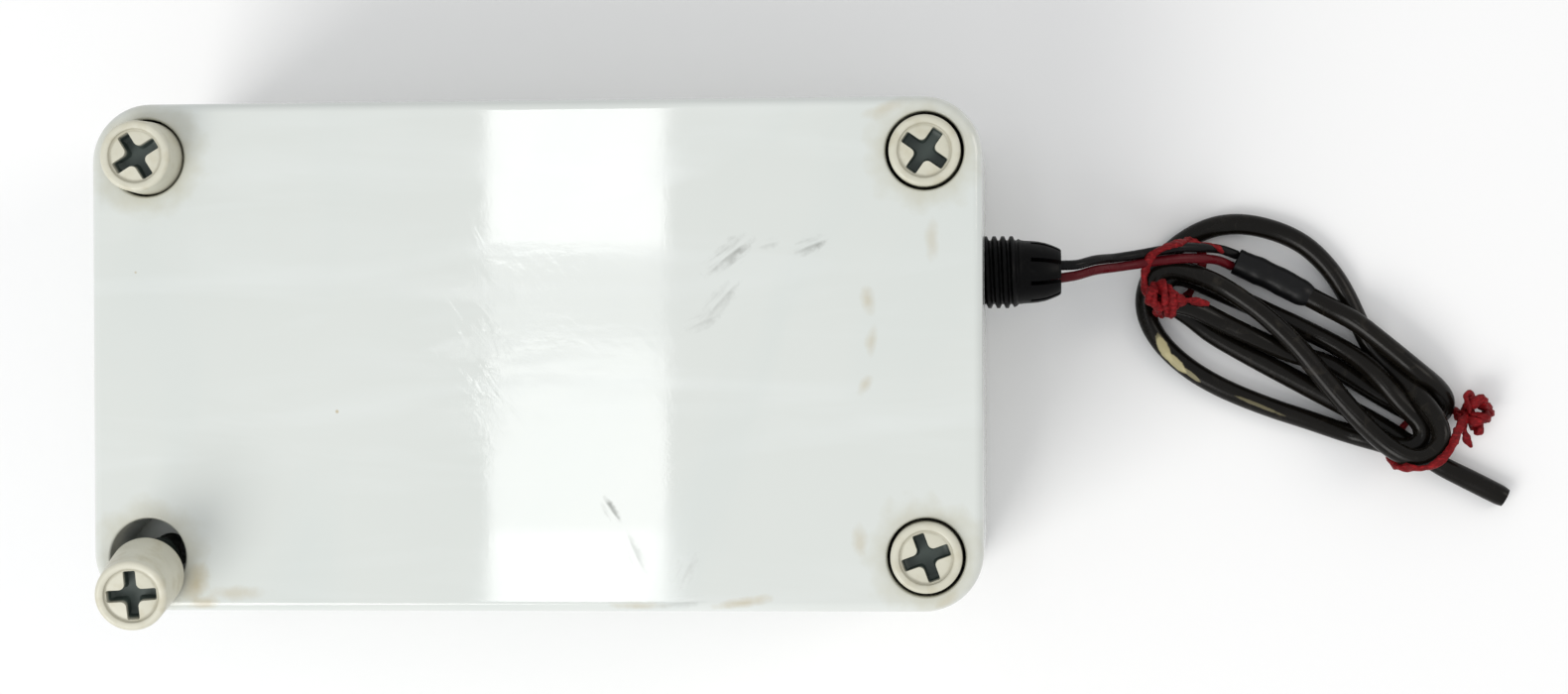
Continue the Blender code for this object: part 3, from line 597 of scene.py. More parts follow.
def box_mesh(size, centre, matrix=None):
    bm = bmesh.new()
    bmesh.ops.create_cube(bm, size=1.0)
    bmesh.ops.scale(bm, vec=size, verts=bm.verts)
    bmesh.ops.translate(bm, vec=centre, verts=bm.verts)
    if matrix is not None:
        bmesh.ops.transform(bm, matrix=matrix, verts=bm.verts)
    return bm


def join(first, second):
    """Adds the second bmesh's geometry to the first and frees it."""
    mesh = bpy.data.meshes.new("joined")
    second.to_mesh(mesh)
    second.free()
    first.from_mesh(mesh)
    bpy.data.meshes.remove(mesh)
    return first


def along_x(y, z):
    return Matrix.Translation((0, y, z)) @ Matrix.Rotation(math.pi / 2, 4, "Y") \
        @ Matrix.Rotation(math.pi / 2, 4, "Z")


def smooth_path(route, spacing):
    """Evenly spaced points along a centripetal Catmull-Rom curve through the route."""
    points = [Vector(p) for p in route]
    points = [2 * points[0] - points[1]] + points + [2 * points[-1] - points[-2]]
    fine = []
    for a, b, c, d in zip(points, points[1:], points[2:], points[3:]):
        t1 = math.sqrt((b - a).length)
        t2 = t1 + math.sqrt((c - b).length)
        t3 = t2 + math.sqrt((d - c).length)
        for i in range(10):
            t = t1 + (t2 - t1) * i / 10
            ab = a.lerp(b, t / t1)
            bc = b.lerp(c, (t - t1) / (t2 - t1))
            cd = c.lerp(d, (t - t2) / (t3 - t2))
            fine.append(ab.lerp(bc, t / t2).lerp(bc.lerp(cd, (t - t1) / (t3 - t1)), (t - t1) / (t2 - t1)))
    fine.append(points[-2])
    lengths = [0.0]
    for a, b in zip(fine, fine[1:]):
        lengths.append(lengths[-1] + (b - a).length)
    count = max(2, round(lengths[-1] / spacing))
    path = []
    index = 0
    for i in range(count + 1):
        target = lengths[-1] * i / count
        while index < len(fine) - 2 and lengths[index + 1] < target:
            index += 1
        span = lengths[index + 1] - lengths[index]
        path.append(fine[index].lerp(fine[index + 1], (target - lengths[index]) / span))
    return path


def relaxed(path, rounds):
    """The path with its tightest kinks eased, and its ends kept."""
    for _ in range(rounds):
        middle = [(a + 2 * b + c) / 4 for a, b, c in zip(path, path[1:], path[2:])]
        path = [path[0], *middle, path[-1]]
    return path


def cord_path(route, spacing):
    """A smooth path through a route in millimetres."""
    return smooth_path([Vector(p) * MM for p in route], spacing * MM)


def tube(path, radius, segments=18, flatten=1.0, closed=False):
    """A tube along the path.  radius is a number or a function of (index, angle)."""
    side = UP.cross(path[1] - path[0])
    side = side.normalized() if side.length > 1e-9 else Vector((1, 0, 0))
    rings = []
    for i, point in enumerate(path):
        if closed:
            ahead = path[(i + 1) % len(path)] - path[i - 1]
        else:
            ahead = path[min(i + 1, len(path) - 1)] - path[max(i - 1, 0)]
        ahead.normalize()
        side = (side - ahead * side.dot(ahead)).normalized()
        other = ahead.cross(side)
        ring = []
        for k in range(segments):
            angle = 2 * math.pi * k / segments
            r = radius(i, angle) if callable(radius) else radius
            ring.append(point + side * (r * math.cos(angle)) + other * (flatten * r * math.sin(angle)))
        rings.append(ring)
    return skin(rings, closed)


def hank_point(along, across, height=STRAND_HEIGHT):
    return HANK_CENTRE + (HANK_ALONG * along + HANK_ACROSS * across + UP * height) * MM


# ---------------------------------------------------------------- cords

LEAD_ROUTES = {
    "red_lead": [(92.8, 13.7, 22.0), (96.0, 14.2, 21.7), (99.5, 15.2, 19.0), (103.5, 15.8, 14.9),
                 (107.5, 16.4, 12.8), (112.0, 17.1, 11.9), (116.0, 17.5, 10.6), (120.0, 17.5, 8.2),
                 (123.4, 17.2, 5.0), (126.0, 16.2, 3.0)],
    "black_lead": [(92.8, 16.1, 22.0), (96.0, 16.2, 21.7), (99.5, 17.1, 19.0), (103.5, 17.6, 14.9),
                   (107.5, 18.2, 12.8), (112.0, 19.0, 11.9), (116.0, 19.6, 10.6), (120.0, 19.6, 8.2),
                   (123.9, 19.3, 5.0), (127.0, 18.3, 3.0)],
}
SLEEVE_ROUTE = [(-18.3, 7.6, 2.9), (-11.5, 9.1, 2.9), (-3.1, 10.4, 3.2)]

# The cable's one continuous route, in the hank's own axes: along, across and up, in millimetres.
# Points without a height lie on the floor
CABLE_ROUTE = [
    # out of the sleeve, over the great loop, to the right end
    (-3.1, 10.4, 3.2), (-0.1, 10.8, 4.0), (3.0, 11.2, 5.2), (6.4, 11.6, 6.1), (10.7, 11.5, 6.3),
    (16.1, 11.3, 6.2), (21.6, 11.0, 6.0), (25.3, 10.9, 4.8), (28.1, 10.5, 3.4), (30.1, 9.4, 2.3), (30.5, 7.2),
    (29.2, 5.2), (26.0, 4.3),
    # back along the bottom, then up on the other strands to the left end
    (22.3, 3.8), (18.6, 3.4), (15.3, 3.1), (11.4, 2.8), (7.7, 2.3), (3.9, 1.0), (0.2, -0.4, 2.6),
    (-3.8, -1.4, 3.8), (-8.4, -2.4, 4.8), (-13.6, -3.4, 5.0), (-18.3, -4.2, 6.2), (-21.7, -5.2, 7.6),
    (-24.3, -6.6, 8.4), (-26.9, -7.0, 8.6), (-29.4, -6.0, 8.7), (-29.8, -3.5, 8.5), (-28.1, -1.4, 8.0),
    (-25.1, 0.1, 7.2),
    # the top strand, across the whole hank
    (-21.8, 1.2, 6.6), (-18.2, 2.0, 6.2), (-13.8, 2.3, 6.2), (-9.3, 2.4, 6.3), (-4.3, 2.0, 6.3),
    (1.0, 1.2, 6.2), (6.6, -0.2, 6.3), (12.4, -1.7, 6.6), (17.8, -2.9, 7.2), (22.9, -3.7, 8.3),
    (27.4, -3.8, 9.2), (31.1, -2.6, 9.6), (32.7, 0.4, 9.6), (32.1, 3.7, 9.4), (29.3, 5.6, 8.7),
    # down and under the first strand, into the great loop
    (25.9, 6.8, 7.2), (22.5, 7.7, 5.2), (19.0, 8.4, 3.4), (15.6, 8.8, 2.5), (12.1, 9.7, 2.1), (7.8, 11.9),
    (2.8, 14.7), (-1.4, 16.5), (-5.4, 17.5), (-9.2, 17.9), (-13.0, 17.5), (-16.8, 16.4), (-20.4, 14.8),
    (-23.5, 12.7), (-26.1, 9.9), (-28.0, 6.5), (-29.3, 2.7), (-29.8, -1.3), (-29.4, -5.3), (-27.9, -8.7),
    (-24.9, -11.5),
    # the lower outside strand, and the inner turn at the right
    (-20.7, -13.3), (-15.9, -14.1), (-11.2, -14.1), (-5.9, -13.4), (-0.4, -12.1), (5.4, -10.4), (11.0, -8.5),
    (15.8, -7.0), (19.5, -5.7), (22.1, -4.7, 3.2), (24.6, -3.7, 4.8), (26.8, -3.0, 5.5), (28.9, -2.0, 5.9),
    (30.1, -0.1, 5.9), (29.8, 2.1, 5.8), (28.0, 3.5, 5.8), (25.4, 3.9, 5.9), (22.1, 4.4, 6.1),
    (18.8, 5.2, 6.1), (15.3, 6.0, 5.4),
    # under the top strand to the left end, and back along the bottom to the free end
    (11.3, 6.4, 4.2), (7.1, 6.1, 2.8), (3.0, 5.5), (-1.6, 4.6), (-6.7, 3.5), (-11.3, 2.6), (-16.3, 1.4, 2.1),
    (-20.9, 0.4, 3.0), (-24.3, -0.6, 4.0), (-26.8, -2.1, 4.6), (-27.1, -4.3, 4.7), (-25.7, -5.9, 4.5),
    (-23.2, -6.4, 4.0), (-19.3, -6.1, 2.8), (-14.1, -6.3, 2.1), (-8.6, -5.7), (-3.3, -5.0), (2.0, -4.2),
    (6.2, -3.6), (10.4, -3.0), (14.7, -2.4), (18.9, -1.7), (23.1, -1.2), (27.6, -0.9), (31.6, -0.8),
    (36.1, -0.6), (40.7, 0.2), (45.3, 1.0), (49.5, 1.7),
]


def uneven(path, radius, amount, size):
    """A tube radius that wanders a little along the path, as soft plastic does."""
    return lambda i, angle: radius * (1 + amount * noise.noise(path[i] / size))


def build_leads():
    skins = {"red_lead": wire_skin("red_insulation", (0.050, 0.0020, 0.0042), (0.10, 0.0040, 0.0075)),
             "black_lead": wire_skin("black_insulation", (0.0016, 0.0014, 0.0014), (0.0045, 0.0042, 0.0042))}
    for name, route in LEAD_ROUTES.items():
        path = cord_path(route, 0.6)
        bm = tube(path, uneven(path, LEAD_DIAMETER / 2, 0.05, 5 * MM), 16)
        lead = add_piece(f"{name}_wire", bm, skins[name], "base", [name])
    return skins


def build_sleeve():
    """Heat-shrink tube over the splice: loose at its mouth, drawn down on the cable at the other end."""
    path = smooth_path([hank_point(*p) for p in SLEEVE_ROUTE], 0.35 * MM)
    last = len(path) - 1

    def radius(i, angle):
        t = i / last
        lump = 0.16 * math.exp(-((t - 0.30) / 0.09) ** 2) + 0.12 * math.exp(-((t - 0.62) / 0.12) ** 2)
        drawn = 0.55 * max(0.0, (t - 0.86) / 0.14) ** 2
        wrinkle = 0.06 * noise.noise(path[i] / (1.6 * MM) + Vector((0, 0, angle)))
        return (2.55 + lump - drawn + wrinkle) * MM

    bm = tube(path, radius, 36, 0.93)
    bm.faces.ensure_lookup_table()
    for face in [f for f in bm.faces if len(f.verts) == 36]:
        bmesh.ops.inset_region(bm, faces=[face], thickness=0.45 * MM)
        normal = face.normal.copy()
        for vert in face.verts:
            vert.co -= normal * 0.9 * MM
    return add_piece("shrink_tube", bm, shrink_sleeve(), "base", ["splice_sleeve"], 50)


def build_cable(skins):
    """The two-core cable: one smooth tube for the sheath, and its two cut cores at the free end."""
    path = relaxed(smooth_path([hank_point(*p) for p in CABLE_ROUTE], 0.7 * MM), 9)
    last = len(path) - 1
    wander = uneven(path, CABLE_DIAMETER / 2, 0.035, 16 * MM)

    def radius(i, angle):
        oval = 1 + 0.035 * math.cos(2 * (angle - 0.05 * i))
        cut = 1 - 0.10 * max(0.0, 1 - (last - i) / 1.5)
        return wander(i, angle) * oval * cut

    bm = tube(path, radius, 24)
    bm.faces.ensure_lookup_table()
    end = [f for f in bm.faces if len(f.verts) == 24][-1]
    bmesh.ops.inset_region(bm, faces=[end], thickness=0.5 * MM)
    direction = (path[-1] - path[-2]).normalized()
    for vert in end.verts:
        vert.co -= direction * 0.5 * MM
    cable = add_piece("cable_sheath_run", bm, cable_sheath(), "base", ["cable_hank", "cable_tail"],
                      45)
    across = UP.cross(direction).normalized()
    for name, side, slot in (("red_lead", -1, "lead_red"), ("black_lead", 1, "lead_black")):
        start = path[-1] - direction * 1.2 * MM + across * (side * 0.62 * MM)
        core = [start + direction * d * MM for d in (0.0, 0.35, 0.70, 0.95)]
        bm = tube(core, 0.52 * MM, 14)
        add_piece(f"cable_core_{slot[5:]}", bm, skins[name], "base", ())
    return cable


# The ties, in the hank's axes: a loop round each end, a knot and loose tails
TIE_LEFT_LOOP = [(-26.7, 6.3, 2.2), (-27.9, 5.1, 6.5), (-29.6, 3.2, 12.0), (-31.1, 1.0, 13.5),
                 (-32.0, -1.1, 13.3), (-31.9, -3.2, 12.6), (-31.0, -5.3, 11.9), (-29.0, -7.5, 11.6),
                 (-26.5, -8.2, 11.6), (-24.9, -8.4, 10.0), (-24.7, -9.2, 6.0), (-23.4, -8.6, 1.6),
                 (-22.0, -4.2, 0.7), (-22.0, 0.9, 0.6), (-24.0, 4.7, 0.7)]
TIE_LEFT_TAILS = [[(-24.5, -5.6, 12.4), (-22.4, -4.6, 11.2), (-20.2, -3.4, 9.4), (-17.8, -2.3, 8.6)],
                  [(-28.6, 4.2, 9.6), (-26.6, 5.4, 8.4), (-24.4, 6.7, 7.0), (-22.6, 7.4, 6.6),
                   (-21.4, 7.2, 6.4)]]
TIE_RIGHT_LOOP = [(26.3, -3.6, 0.8), (27.2, -5.4, 4.6), (28.6, -5.8, 8.4), (30.4, -4.9, 11.2),
                  (32.4, -3.4, 12.0), (33.7, -1.5, 12.2), (34.3, 0.9, 12.0), (34.2, 3.3, 11.2),
                  (33.9, 5.6, 9.4), (33.8, 7.8, 7.4), (33.9, 9.6, 5.0), (32.8, 9.6, 1.8), (30.0, 8.6, 0.7),
                  (27.2, 5.8, 0.6), (26.2, 1.6, 0.6)]
TIE_RIGHT_TAILS = [[(34.2, 9.0, 5.4), (35.2, 7.4, 5.0), (36.6, 6.4, 4.2), (38.4, 5.6, 3.2)],
                   [(34.0, 10.4, 5.6), (32.8, 11.6, 5.8), (31.6, 12.6, 5.2), (32.2, 13.6, 4.4),
                    (33.4, 13.2, 4.0)]]


def ribbon(route, width, closed=False, seed=0.0):
    """A thin twisted and crumpled band along a route in the hank's axes."""
    points = [hank_point(*p) for p in route]
    if closed:
        points = points + points[:1]
    path = smooth_path(points, 0.32 * MM)
    if closed:
        path = path[:-1]

    def radius(i, angle):
        twist = 0.9 * noise.noise(path[i] / (5 * MM) + Vector((seed, 0, 0))) * math.pi
        flat = 1 - 0.42 * math.cos(angle - twist) ** 2
        crease = 1 + 0.34 * noise.noise(path[i] / (0.9 * MM) + Vector((seed, angle, 0)))
        taper = 1.0
        if not closed:
            taper = min(1.0, 0.5 + 0.12 * (len(path) - 1 - i), 0.6 + 0.1 * i)
        return width / 2 * flat * crease * taper

    return tube(path, radius, 14, closed=closed)


def knot(centre, size, turns, seed):
    """A tangle of ribbon turns inside an ellipsoid, pulled tight."""
    middle = hank_point(*centre)
    count = 150
    path = []
    for i in range(count):
        t = 2 * math.pi * i / count
        local = Vector((math.sin(turns[0] * t + seed), math.sin(turns[1] * t + 1.3 * seed),
                        math.sin(turns[2] * t + 0.4)))
        shrink = 0.62 + 0.30 * noise.noise(local * 1.7 + Vector((seed, 0, 0)))
        path.append(middle + (HANK_ALONG * local.x * size[0] + HANK_ACROSS * local.y * size[1]
                              + UP * local.z * size[2]) * (shrink * MM))

    def radius(i, angle):
        crease = 1 + 0.30 * noise.noise(path[i] / (0.8 * MM) + Vector((seed, angle, 0)))
        return 0.95 * MM * crease * (1 - 0.35 * math.cos(angle - 0.2 * i) ** 2)

    return tube(path, radius, 12, closed=True)


def build_ties():
    red = tie_ribbon()
    ties = []
    parts = (
        ("tie_left", TIE_LEFT_LOOP, TIE_LEFT_TAILS, (-25.4, -6.6, 12.4), (4.2, 3.0, 1.7), (2, 3, 5), 0.7),
        ("tie_right", TIE_RIGHT_LOOP, TIE_RIGHT_TAILS, (35.2, 11.2, 4.2), (3.4, 3.6, 3.2), (3, 2, 5), 2.1),
    )
    for name, loop, tails, centre, size, turns, seed in parts:
        bm = ribbon(loop, 1.75 * MM, True, seed)
        for index, tail in enumerate(tails):
            bm = join(bm, ribbon(tail, 1.5 * MM, False, seed + index))
        bm = join(bm, knot(centre, size, turns, seed))
        for vert in bm.verts:
            vert.co.z = max(vert.co.z, 0.1 * MM)
        ties.append(add_piece(f"{name}_ribbon", bm, red, "base", [name], 60))
    return ties


def build_cords():
    sleeve = build_sleeve()
    skins = build_leads()
    ties = build_ties()
    build_cable(skins)
    return skins


WIRE_SKINS = build_cords()


# ---------------------------------------------------------------- enclosure

def box_ring(inset, z):
    return flat_ring(rounded_rectangle(HALF_X - inset, HALF_Y - inset, CORNER_RADIUS - inset), z)


def upright(profile, x, y, segments=48, closed=False):
    """A turned tool or boss that stands at x, y."""
    return solid(turned(profile, segments, Matrix.Translation((x, y, 0)), closed))


def corners():
    return [(sx * SCREW_X, sy * SCREW_Y) for sx in (-1, 1) for sy in (-1, 1)]


def build_lid(material):
    bottom = PARTING_Z + GAP
    rings = [box_ring(SEAM_EDGE, bottom), box_ring(SEAM_MIDDLE, bottom + SEAM_MIDDLE),
             box_ring(0, bottom + SEAM_EDGE)]
    rings += [box_ring(inset, TOP_Z - LID_EDGE + rise) for inset, rise in rounded_edge(LID_EDGE, 7)]
    lid = solid(skin(rings), "lid_moulding")
    tongue = ring_prism(cavity_outline(2.0 * MM), cavity_outline(1.0 * MM), LID_LOW.z, PARTING_Z + 1 * MM)
    combine(lid, [solid(tongue)], "UNION")
    tools = [solid(prism(cavity_outline(0), PARTING_Z - 6 * MM, TOP_Z - WALL))]
    lip = [(RECESS_RADIUS + inset, TOP_Z - LIP_EDGE + rise) for inset, rise in rounded_edge(LIP_EDGE, 5)]
    recess = [(RECESS_RADIUS, SEAT_Z), *lip, (RECESS_RADIUS + LIP_EDGE, TOP_Z + 2 * MM)]
    shank_hole = [(SHANK_HOLE, PARTING_Z - 3 * MM), (SHANK_HOLE, SEAT_Z + 1 * MM)]
    for x, y in corners():
        tools += [upright(recess, x, y, 72), upright(shank_hole, x, y)]
    combine(lid, tools, "DIFFERENCE")
    size = (1.6 * MM, 2 * (HALF_Y - WALL) + 0.4 * MM, 2.2 * MM)
    ribs = [solid(box_mesh(size, (x, 0, TOP_Z - WALL - 0.9 * MM))) for x in (-30 * MM, 30 * MM)]
    combine(lid, ribs, "UNION")
    return dress(lid, material, "lid", ["lid_shell"], 28, True)


def build_base(material):
    rings = [box_ring(inset, BASE_EDGE - rise) for inset, rise in reversed(rounded_edge(BASE_EDGE, 5))]
    rings += [box_ring(0, PARTING_Z - SEAM_EDGE), box_ring(SEAM_MIDDLE, PARTING_Z - SEAM_MIDDLE),
              box_ring(SEAM_EDGE, PARTING_Z)]
    base = solid(skin(rings), "base_moulding")
    above = PARTING_Z + WALL
    groove = ring_prism(cavity_outline(2.3 * MM), cavity_outline(0.7 * MM), PARTING_Z - 2.4 * MM, above)
    tools = [solid(prism(cavity_outline(0), WALL, above)), solid(groove)]
    tools += [upright([(SHANK_HOLE, BORE_FLOOR_Z), (SHANK_HOLE, above)], x, y) for x, y in corners()]
    hole = [(7 * MM, HALF_X - 2 * WALL), (7 * MM, HALF_X - 0.4 * MM), (7.4 * MM, HALF_X),
            (7.4 * MM, HALF_X + WALL)]
    tools.append(solid(turned(hole, 64, along_x(GLAND_Y, GLAND_Z))))
    mark = mm((3.2, -1), (3.2, 0.18))
    tools += [upright(mark, x, y, 40) for x in (-50 * MM, 50 * MM) for y in (-24 * MM, 24 * MM)]
    combine(base, tools, "DIFFERENCE")
    post = [(1.6 * MM, WALL - 1 * MM), (4.4 * MM, WALL - 1 * MM), (4.4 * MM, WALL),
            (3.7 * MM, WALL + 0.7 * MM), (3.6 * MM, 7.6 * MM), (1.6 * MM, 7.6 * MM)]
    posts = [upright(post, x, y, 40, True) for x in POST_X for y in (-POST_Y, POST_Y)]
    combine(base, posts, "UNION")
    return dress(base, material, "base", ["base_shell"], 28, True)


def build_gasket():
    low, high, middle = cad_box("lid_gasket")
    rings = []
    for i in range(12):
        angle = 2 * math.pi * i / 12
        outline = cavity_outline(1.5 * MM + 0.5 * MM * math.cos(angle))
        rings.append(flat_ring(outline, middle.z + (high.z - low.z) / 2 * math.sin(angle)))
    cord = skin(rings, closed=True)
    add_piece("sealing_cord", cord, seal_rubber(), "lid", ["lid_gasket"], 60)


# ---------------------------------------------------------------- screws

def cross_outline(span, width, round_in, round_out):
    """A cross with filleted inner corners and rounded arm ends."""
    half = width / 2
    reach = span / 2
    quarter = fillet((reach - round_out, half - round_out), round_out, 0, 90, 3)
    quarter += fillet((half + round_in, half + round_in), round_in, 270, 180, 5)
    quarter += fillet((half - round_out, reach - round_out), round_out, 0, 90, 3)
    points = []
    for turn in range(4):
        c, s = ((1, 0), (0, 1), (-1, 0), (0, -1))[turn]
        points += [(c * x - s * y, s * x + c * y) for x, y in quarter]
    return points


def screw_mesh(slot_turn):
    top = HEAD_TOP
    rim = HEAD_RIM
    root = 2.5 * MM
    thread_end = SHANK_LENGTH - 2.4 * MM
    profile = mm((1.8, 0), (2.3, 0.25), (2.5, 0.7))
    profile += [(root, h) for h in steps(0.8 * MM, thread_end, 88)]
    profile += [(SHANK_RADIUS, thread_end + 0.4 * MM), (SHANK_RADIUS, SHANK_LENGTH - 0.3 * MM),
                (SHANK_RADIUS + 0.3 * MM, SHANK_LENGTH), (HEAD_FOOT - 0.5 * MM, SHANK_LENGTH)]
    profile += fillet((HEAD_FOOT - 0.5 * MM, SHANK_LENGTH + 0.5 * MM), 0.5 * MM, 285, 360, 4)
    profile.append((HEAD_FOOT - 0.06 * MM, SHANK_LENGTH + 4 * MM))
    profile += fillet((HEAD_RADIUS - 0.7 * MM, top - 0.7 * MM), 0.7 * MM, 0, 90, 7)
    dish = mm((0.25, 0), (0.05, 0.12), (-0.1, 0.5), (-0.3, 0.62), (-1.6, 0.52))
    profile += [(rim + outwards, top - depth) for outwards, depth in dish]
    profile.append((1.2 * MM, top - 0.48 * MM))
    thread = (0.8 * MM, thread_end, root, SHANK_RADIUS - 0.02 * MM, SCREW_PITCH)
    screw = solid(threaded(profile, thread, 72), "screw_moulding")
    cross = cross_outline(8.7 * MM, 2.15 * MM, 0.95 * MM, 0.3 * MM)
    rings = []
    for rise, scale in ((0.4, 1.02), (-0.5, 1.0), (-3.0, 0.90), (-3.5, 0.72)):
        rings.append(flat_ring([(x * scale, y * scale) for x, y in cross], top + rise * MM))
    slot = skin(rings)
    bmesh.ops.rotate(slot, cent=(0, 0, 0), matrix=Matrix.Rotation(slot_turn, 3, "Z"), verts=slot.verts)
    combine(screw, [solid(slot)], "DIFFERENCE")
    return screw


def place_screw(where, tip, slot_turn, turn, axis):
    screw = screw_mesh(math.radians(slot_turn))
    screw.data.transform(Matrix.Translation(tip) @ turn)
    screw.name = f"cross_screw_{where}"
    dress(screw, screw_plastic(where, tip, axis), f"screw_{where}", [f"lid_screw_{where}"], 35,
          True)


def build_screws():
    """Each screw stands where its CAD node stands: seated, half out, or loose and leaning."""
    upright_screws = (("rear_left", -1, 1, 7.0, 32), ("rear_right", 1, 1, 1.2, 55),
                      ("front_right", 1, -1, 1.5, 20))
    for where, sx, sy, rise, slot_turn in upright_screws:
        tip = Vector((sx * SCREW_X, sy * SCREW_Y, SEAT_Z - SHANK_LENGTH + rise * MM))
        place_screw(where, tip, slot_turn, Matrix.Identity(4), UP)
    turn = Matrix.Rotation(LOOSE_LEAN, 4, UP.cross(LOOSE_TOWARDS))
    place_screw("front_left", Vector((-SCREW_X, -SCREW_Y, SEAT_Z)) + LOOSE_TIP, 3, turn, turn @ UP)


# ---------------------------------------------------------------- gland

def build_gland():
    middle = along_x(GLAND_Y, GLAND_Z)
    thread_start = HALF_X - 1.5 * MM
    thread_end = 85.8 * MM
    root = 5.95 * MM
    crest = 6.72 * MM
    profile = mm((3.1, 69.2), (5.4, 69.2), (5.6, 69.4), (5.6, 71.7))
    profile += [(root, h) for h in steps(thread_start, thread_end, 90)]
    profile += mm((5.86, 86.3), (5.80, 87.6), (5.68, 88.9), (5.42, 90.2), (5.02, 91.4), (4.55, 92.5),
                  (4.28, 93.0))
    profile += [(4.05 * MM, NOSE_END_X), (3.1 * MM, NOSE_END_X), (2.85 * MM, NOSE_END_X - 0.25 * MM)]
    profile += mm((2.75, 92.0), (3.1, 91.6))
    thread = (thread_start, thread_end, root, crest, THREAD_PITCH)
    gland = solid(threaded(profile, thread, 96, closed=True), "gland_moulding")
    gland.data.transform(middle)
    hexagon = mm((8.7, 70.7), (9.2, 71.1), (9.2, 75.4), (8.7, 75.7), (4.5, 75.7), (4.5, 70.7))
    collar = mm((5.2, 75.6), (6.2, 75.6), (6.2, 78.6), (5.2, 78.6))
    rings = [solid(turned(hexagon, 6, middle, closed=True)), solid(turned(collar, 64, middle, closed=True))]
    combine(gland, rings, "UNION")
    slots = []
    for angle in (22.5, 67.5, 112.5, 157.5):
        turn = Matrix.Translation((0, GLAND_Y, GLAND_Z)) @ Matrix.Rotation(math.radians(angle), 4, "X")
        slots.append(solid(box_mesh((7.0 * MM, 0.8 * MM, 14 * MM), (NOSE_END_X - 2.1 * MM, 0, 0), turn)))
    combine(gland, slots, "DIFFERENCE")
    dress(gland, black_nylon(), "base", ["gland_body"], 30, True)

    insert = mm((2.55, 79), (2.75, 79.3), (2.75, 90.1), (2.45, 90.5))
    seal = solid(turned(insert, 48, middle), "seal_moulding")
    hole = mm((1.15, 75), (1.15, 95))
    holes = [solid(turned(hole, 24, along_x(GLAND_Y + side * 1.4 * MM, GLAND_Z))) for side in (-1, 1)]
    combine(seal, holes, "DIFFERENCE")
    dress(seal, seal_rubber(), "base", ["gland_seal"], 40)


# ---------------------------------------------------------------- inside the box

def build_inner_wires():
    """The pair from the terminal block to the gland, and the battery leads to their header."""
    for name, finish, side in (("red", "red_lead", -1), ("black", "black_lead", 1)):
        block_y = GLAND_Y / MM + side * 2.6
        gland_y = GLAND_Y / MM + side * 1.4
        route = [(51.2, block_y, 13.0), (55.0, block_y, 13.0), (59.5, block_y, 13.8),
                 (64.0, gland_y + side * 0.6, 18.2), (68.5, gland_y, 21.6), (73.0, gland_y, 22.0),
                 (82.0, gland_y, 22.0), (92.6, gland_y, 22.0)]
        path = cord_path(route, 0.8)
        bm = tube(path, uneven(path, LEAD_DIAMETER / 2, 0.04, 5 * MM), 16)
        add_piece(f"inner_wire_{name}", bm, WIRE_SKINS[finish], "base", [f"inner_lead_{name}"])
        y = cad_box(f"battery_lead_{name}")[2].y / MM
        route = [(6.4, y, 12.5), (8.0, y, 13.6), (9.6, y, 18.0), (12.0, y, 20.6), (14.6, y, 20.4),
                 (15.5, y, 17.5)]
        bm = tube(cord_path(route, 0.6), 0.7 * MM, 14)
        add_piece(f"battery_wire_{name}", bm, WIRE_SKINS[finish], "base", [f"battery_lead_{name}"])


def build_antenna(copper):
    """A close-wound helix of enamelled wire in the place of its plain CAD cylinder."""
    low, high, centre = cad_box("antenna_coil")
    wire = 0.42 * MM
    reach = (high.x - low.x) / 2 - wire
    turns = 13
    path = []
    for t in steps(0, turns, turns * 20):
        around = Vector((math.cos(2 * math.pi * t), math.sin(2 * math.pi * t), 0))
        rise = low.z + wire + (high.z - low.z - 2 * wire) * t / turns
        path.append(Vector((centre.x, centre.y, rise)) + reach * around)
    add_piece("antenna_winding", tube(path, wire, 10), copper, "base", ["antenna_coil"])


def build_led(material):
    low, high, centre = cad_box("status_led")
    flange = (high.x - low.x) / 2
    dome = flange - 0.25 * MM
    profile = [(flange, low.z), (flange, low.z + 0.8 * MM), (dome, low.z + 0.85 * MM)]
    profile += [(dome * math.cos(a), high.z - dome * (1 - math.sin(a)))
                for a in steps(0, math.pi / 2 * 0.97, 9)]
    add_piece("led_lens", turned(profile, 36, Matrix.Translation((centre.x, centre.y, 0))), material, "base",
              ["status_led"])


def build_lead_frames(steel):
    """Bent wire legs of the parts that lie on the board."""
    for name in ("resistor_1", "resistor_2", "flyback_diode"):
        low, high, centre = cad_box(name)
        bm = None
        for sign in (-1, 1):
            end = high.y if sign > 0 else low.y
            route = [(centre.x, end - sign * 0.3 * MM, centre.z), (centre.x, end + sign * 1.0 * MM, centre.z),
                     (centre.x, end + sign * 1.5 * MM, centre.z - 0.5 * MM),
                     (centre.x, end + sign * 1.55 * MM, low.z - 0.2 * MM)]
            leg = tube(smooth_path(route, 0.15 * MM), 0.28 * MM, 10)
            bm = leg if bm is None else join(bm, leg)
        add_piece(f"{name}_legs", bm, steel, "base", ())


def build_battery_springs(steel):
    """A coil spring at the flat end of each cell, in the holder's end wall."""
    for number in range(1, 5):
        low, high, centre = cad_box(f"battery_cell_{number}")
        sign = 1 if abs(low.y) > abs(high.y) else -1
        flat = high.y if sign > 0 else low.y
        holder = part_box("battery_holder")[1][1] - 2.5 * MM
        room = holder - abs(flat) - 0.2 * MM
        path = []
        for t in steps(0, 3.0, 72):
            r = (3.4 - 0.55 * t) * MM
            y = sign * (holder - 0.1 * MM - room * t / 3.0)
            around = Vector((math.cos(2 * math.pi * t), 0, math.sin(2 * math.pi * t)))
            path.append(Vector((centre.x, y, centre.z)) + r * around)
        add_piece(f"contact_spring_{number}", tube(path, 0.24 * MM, 8), steel, "base", ())


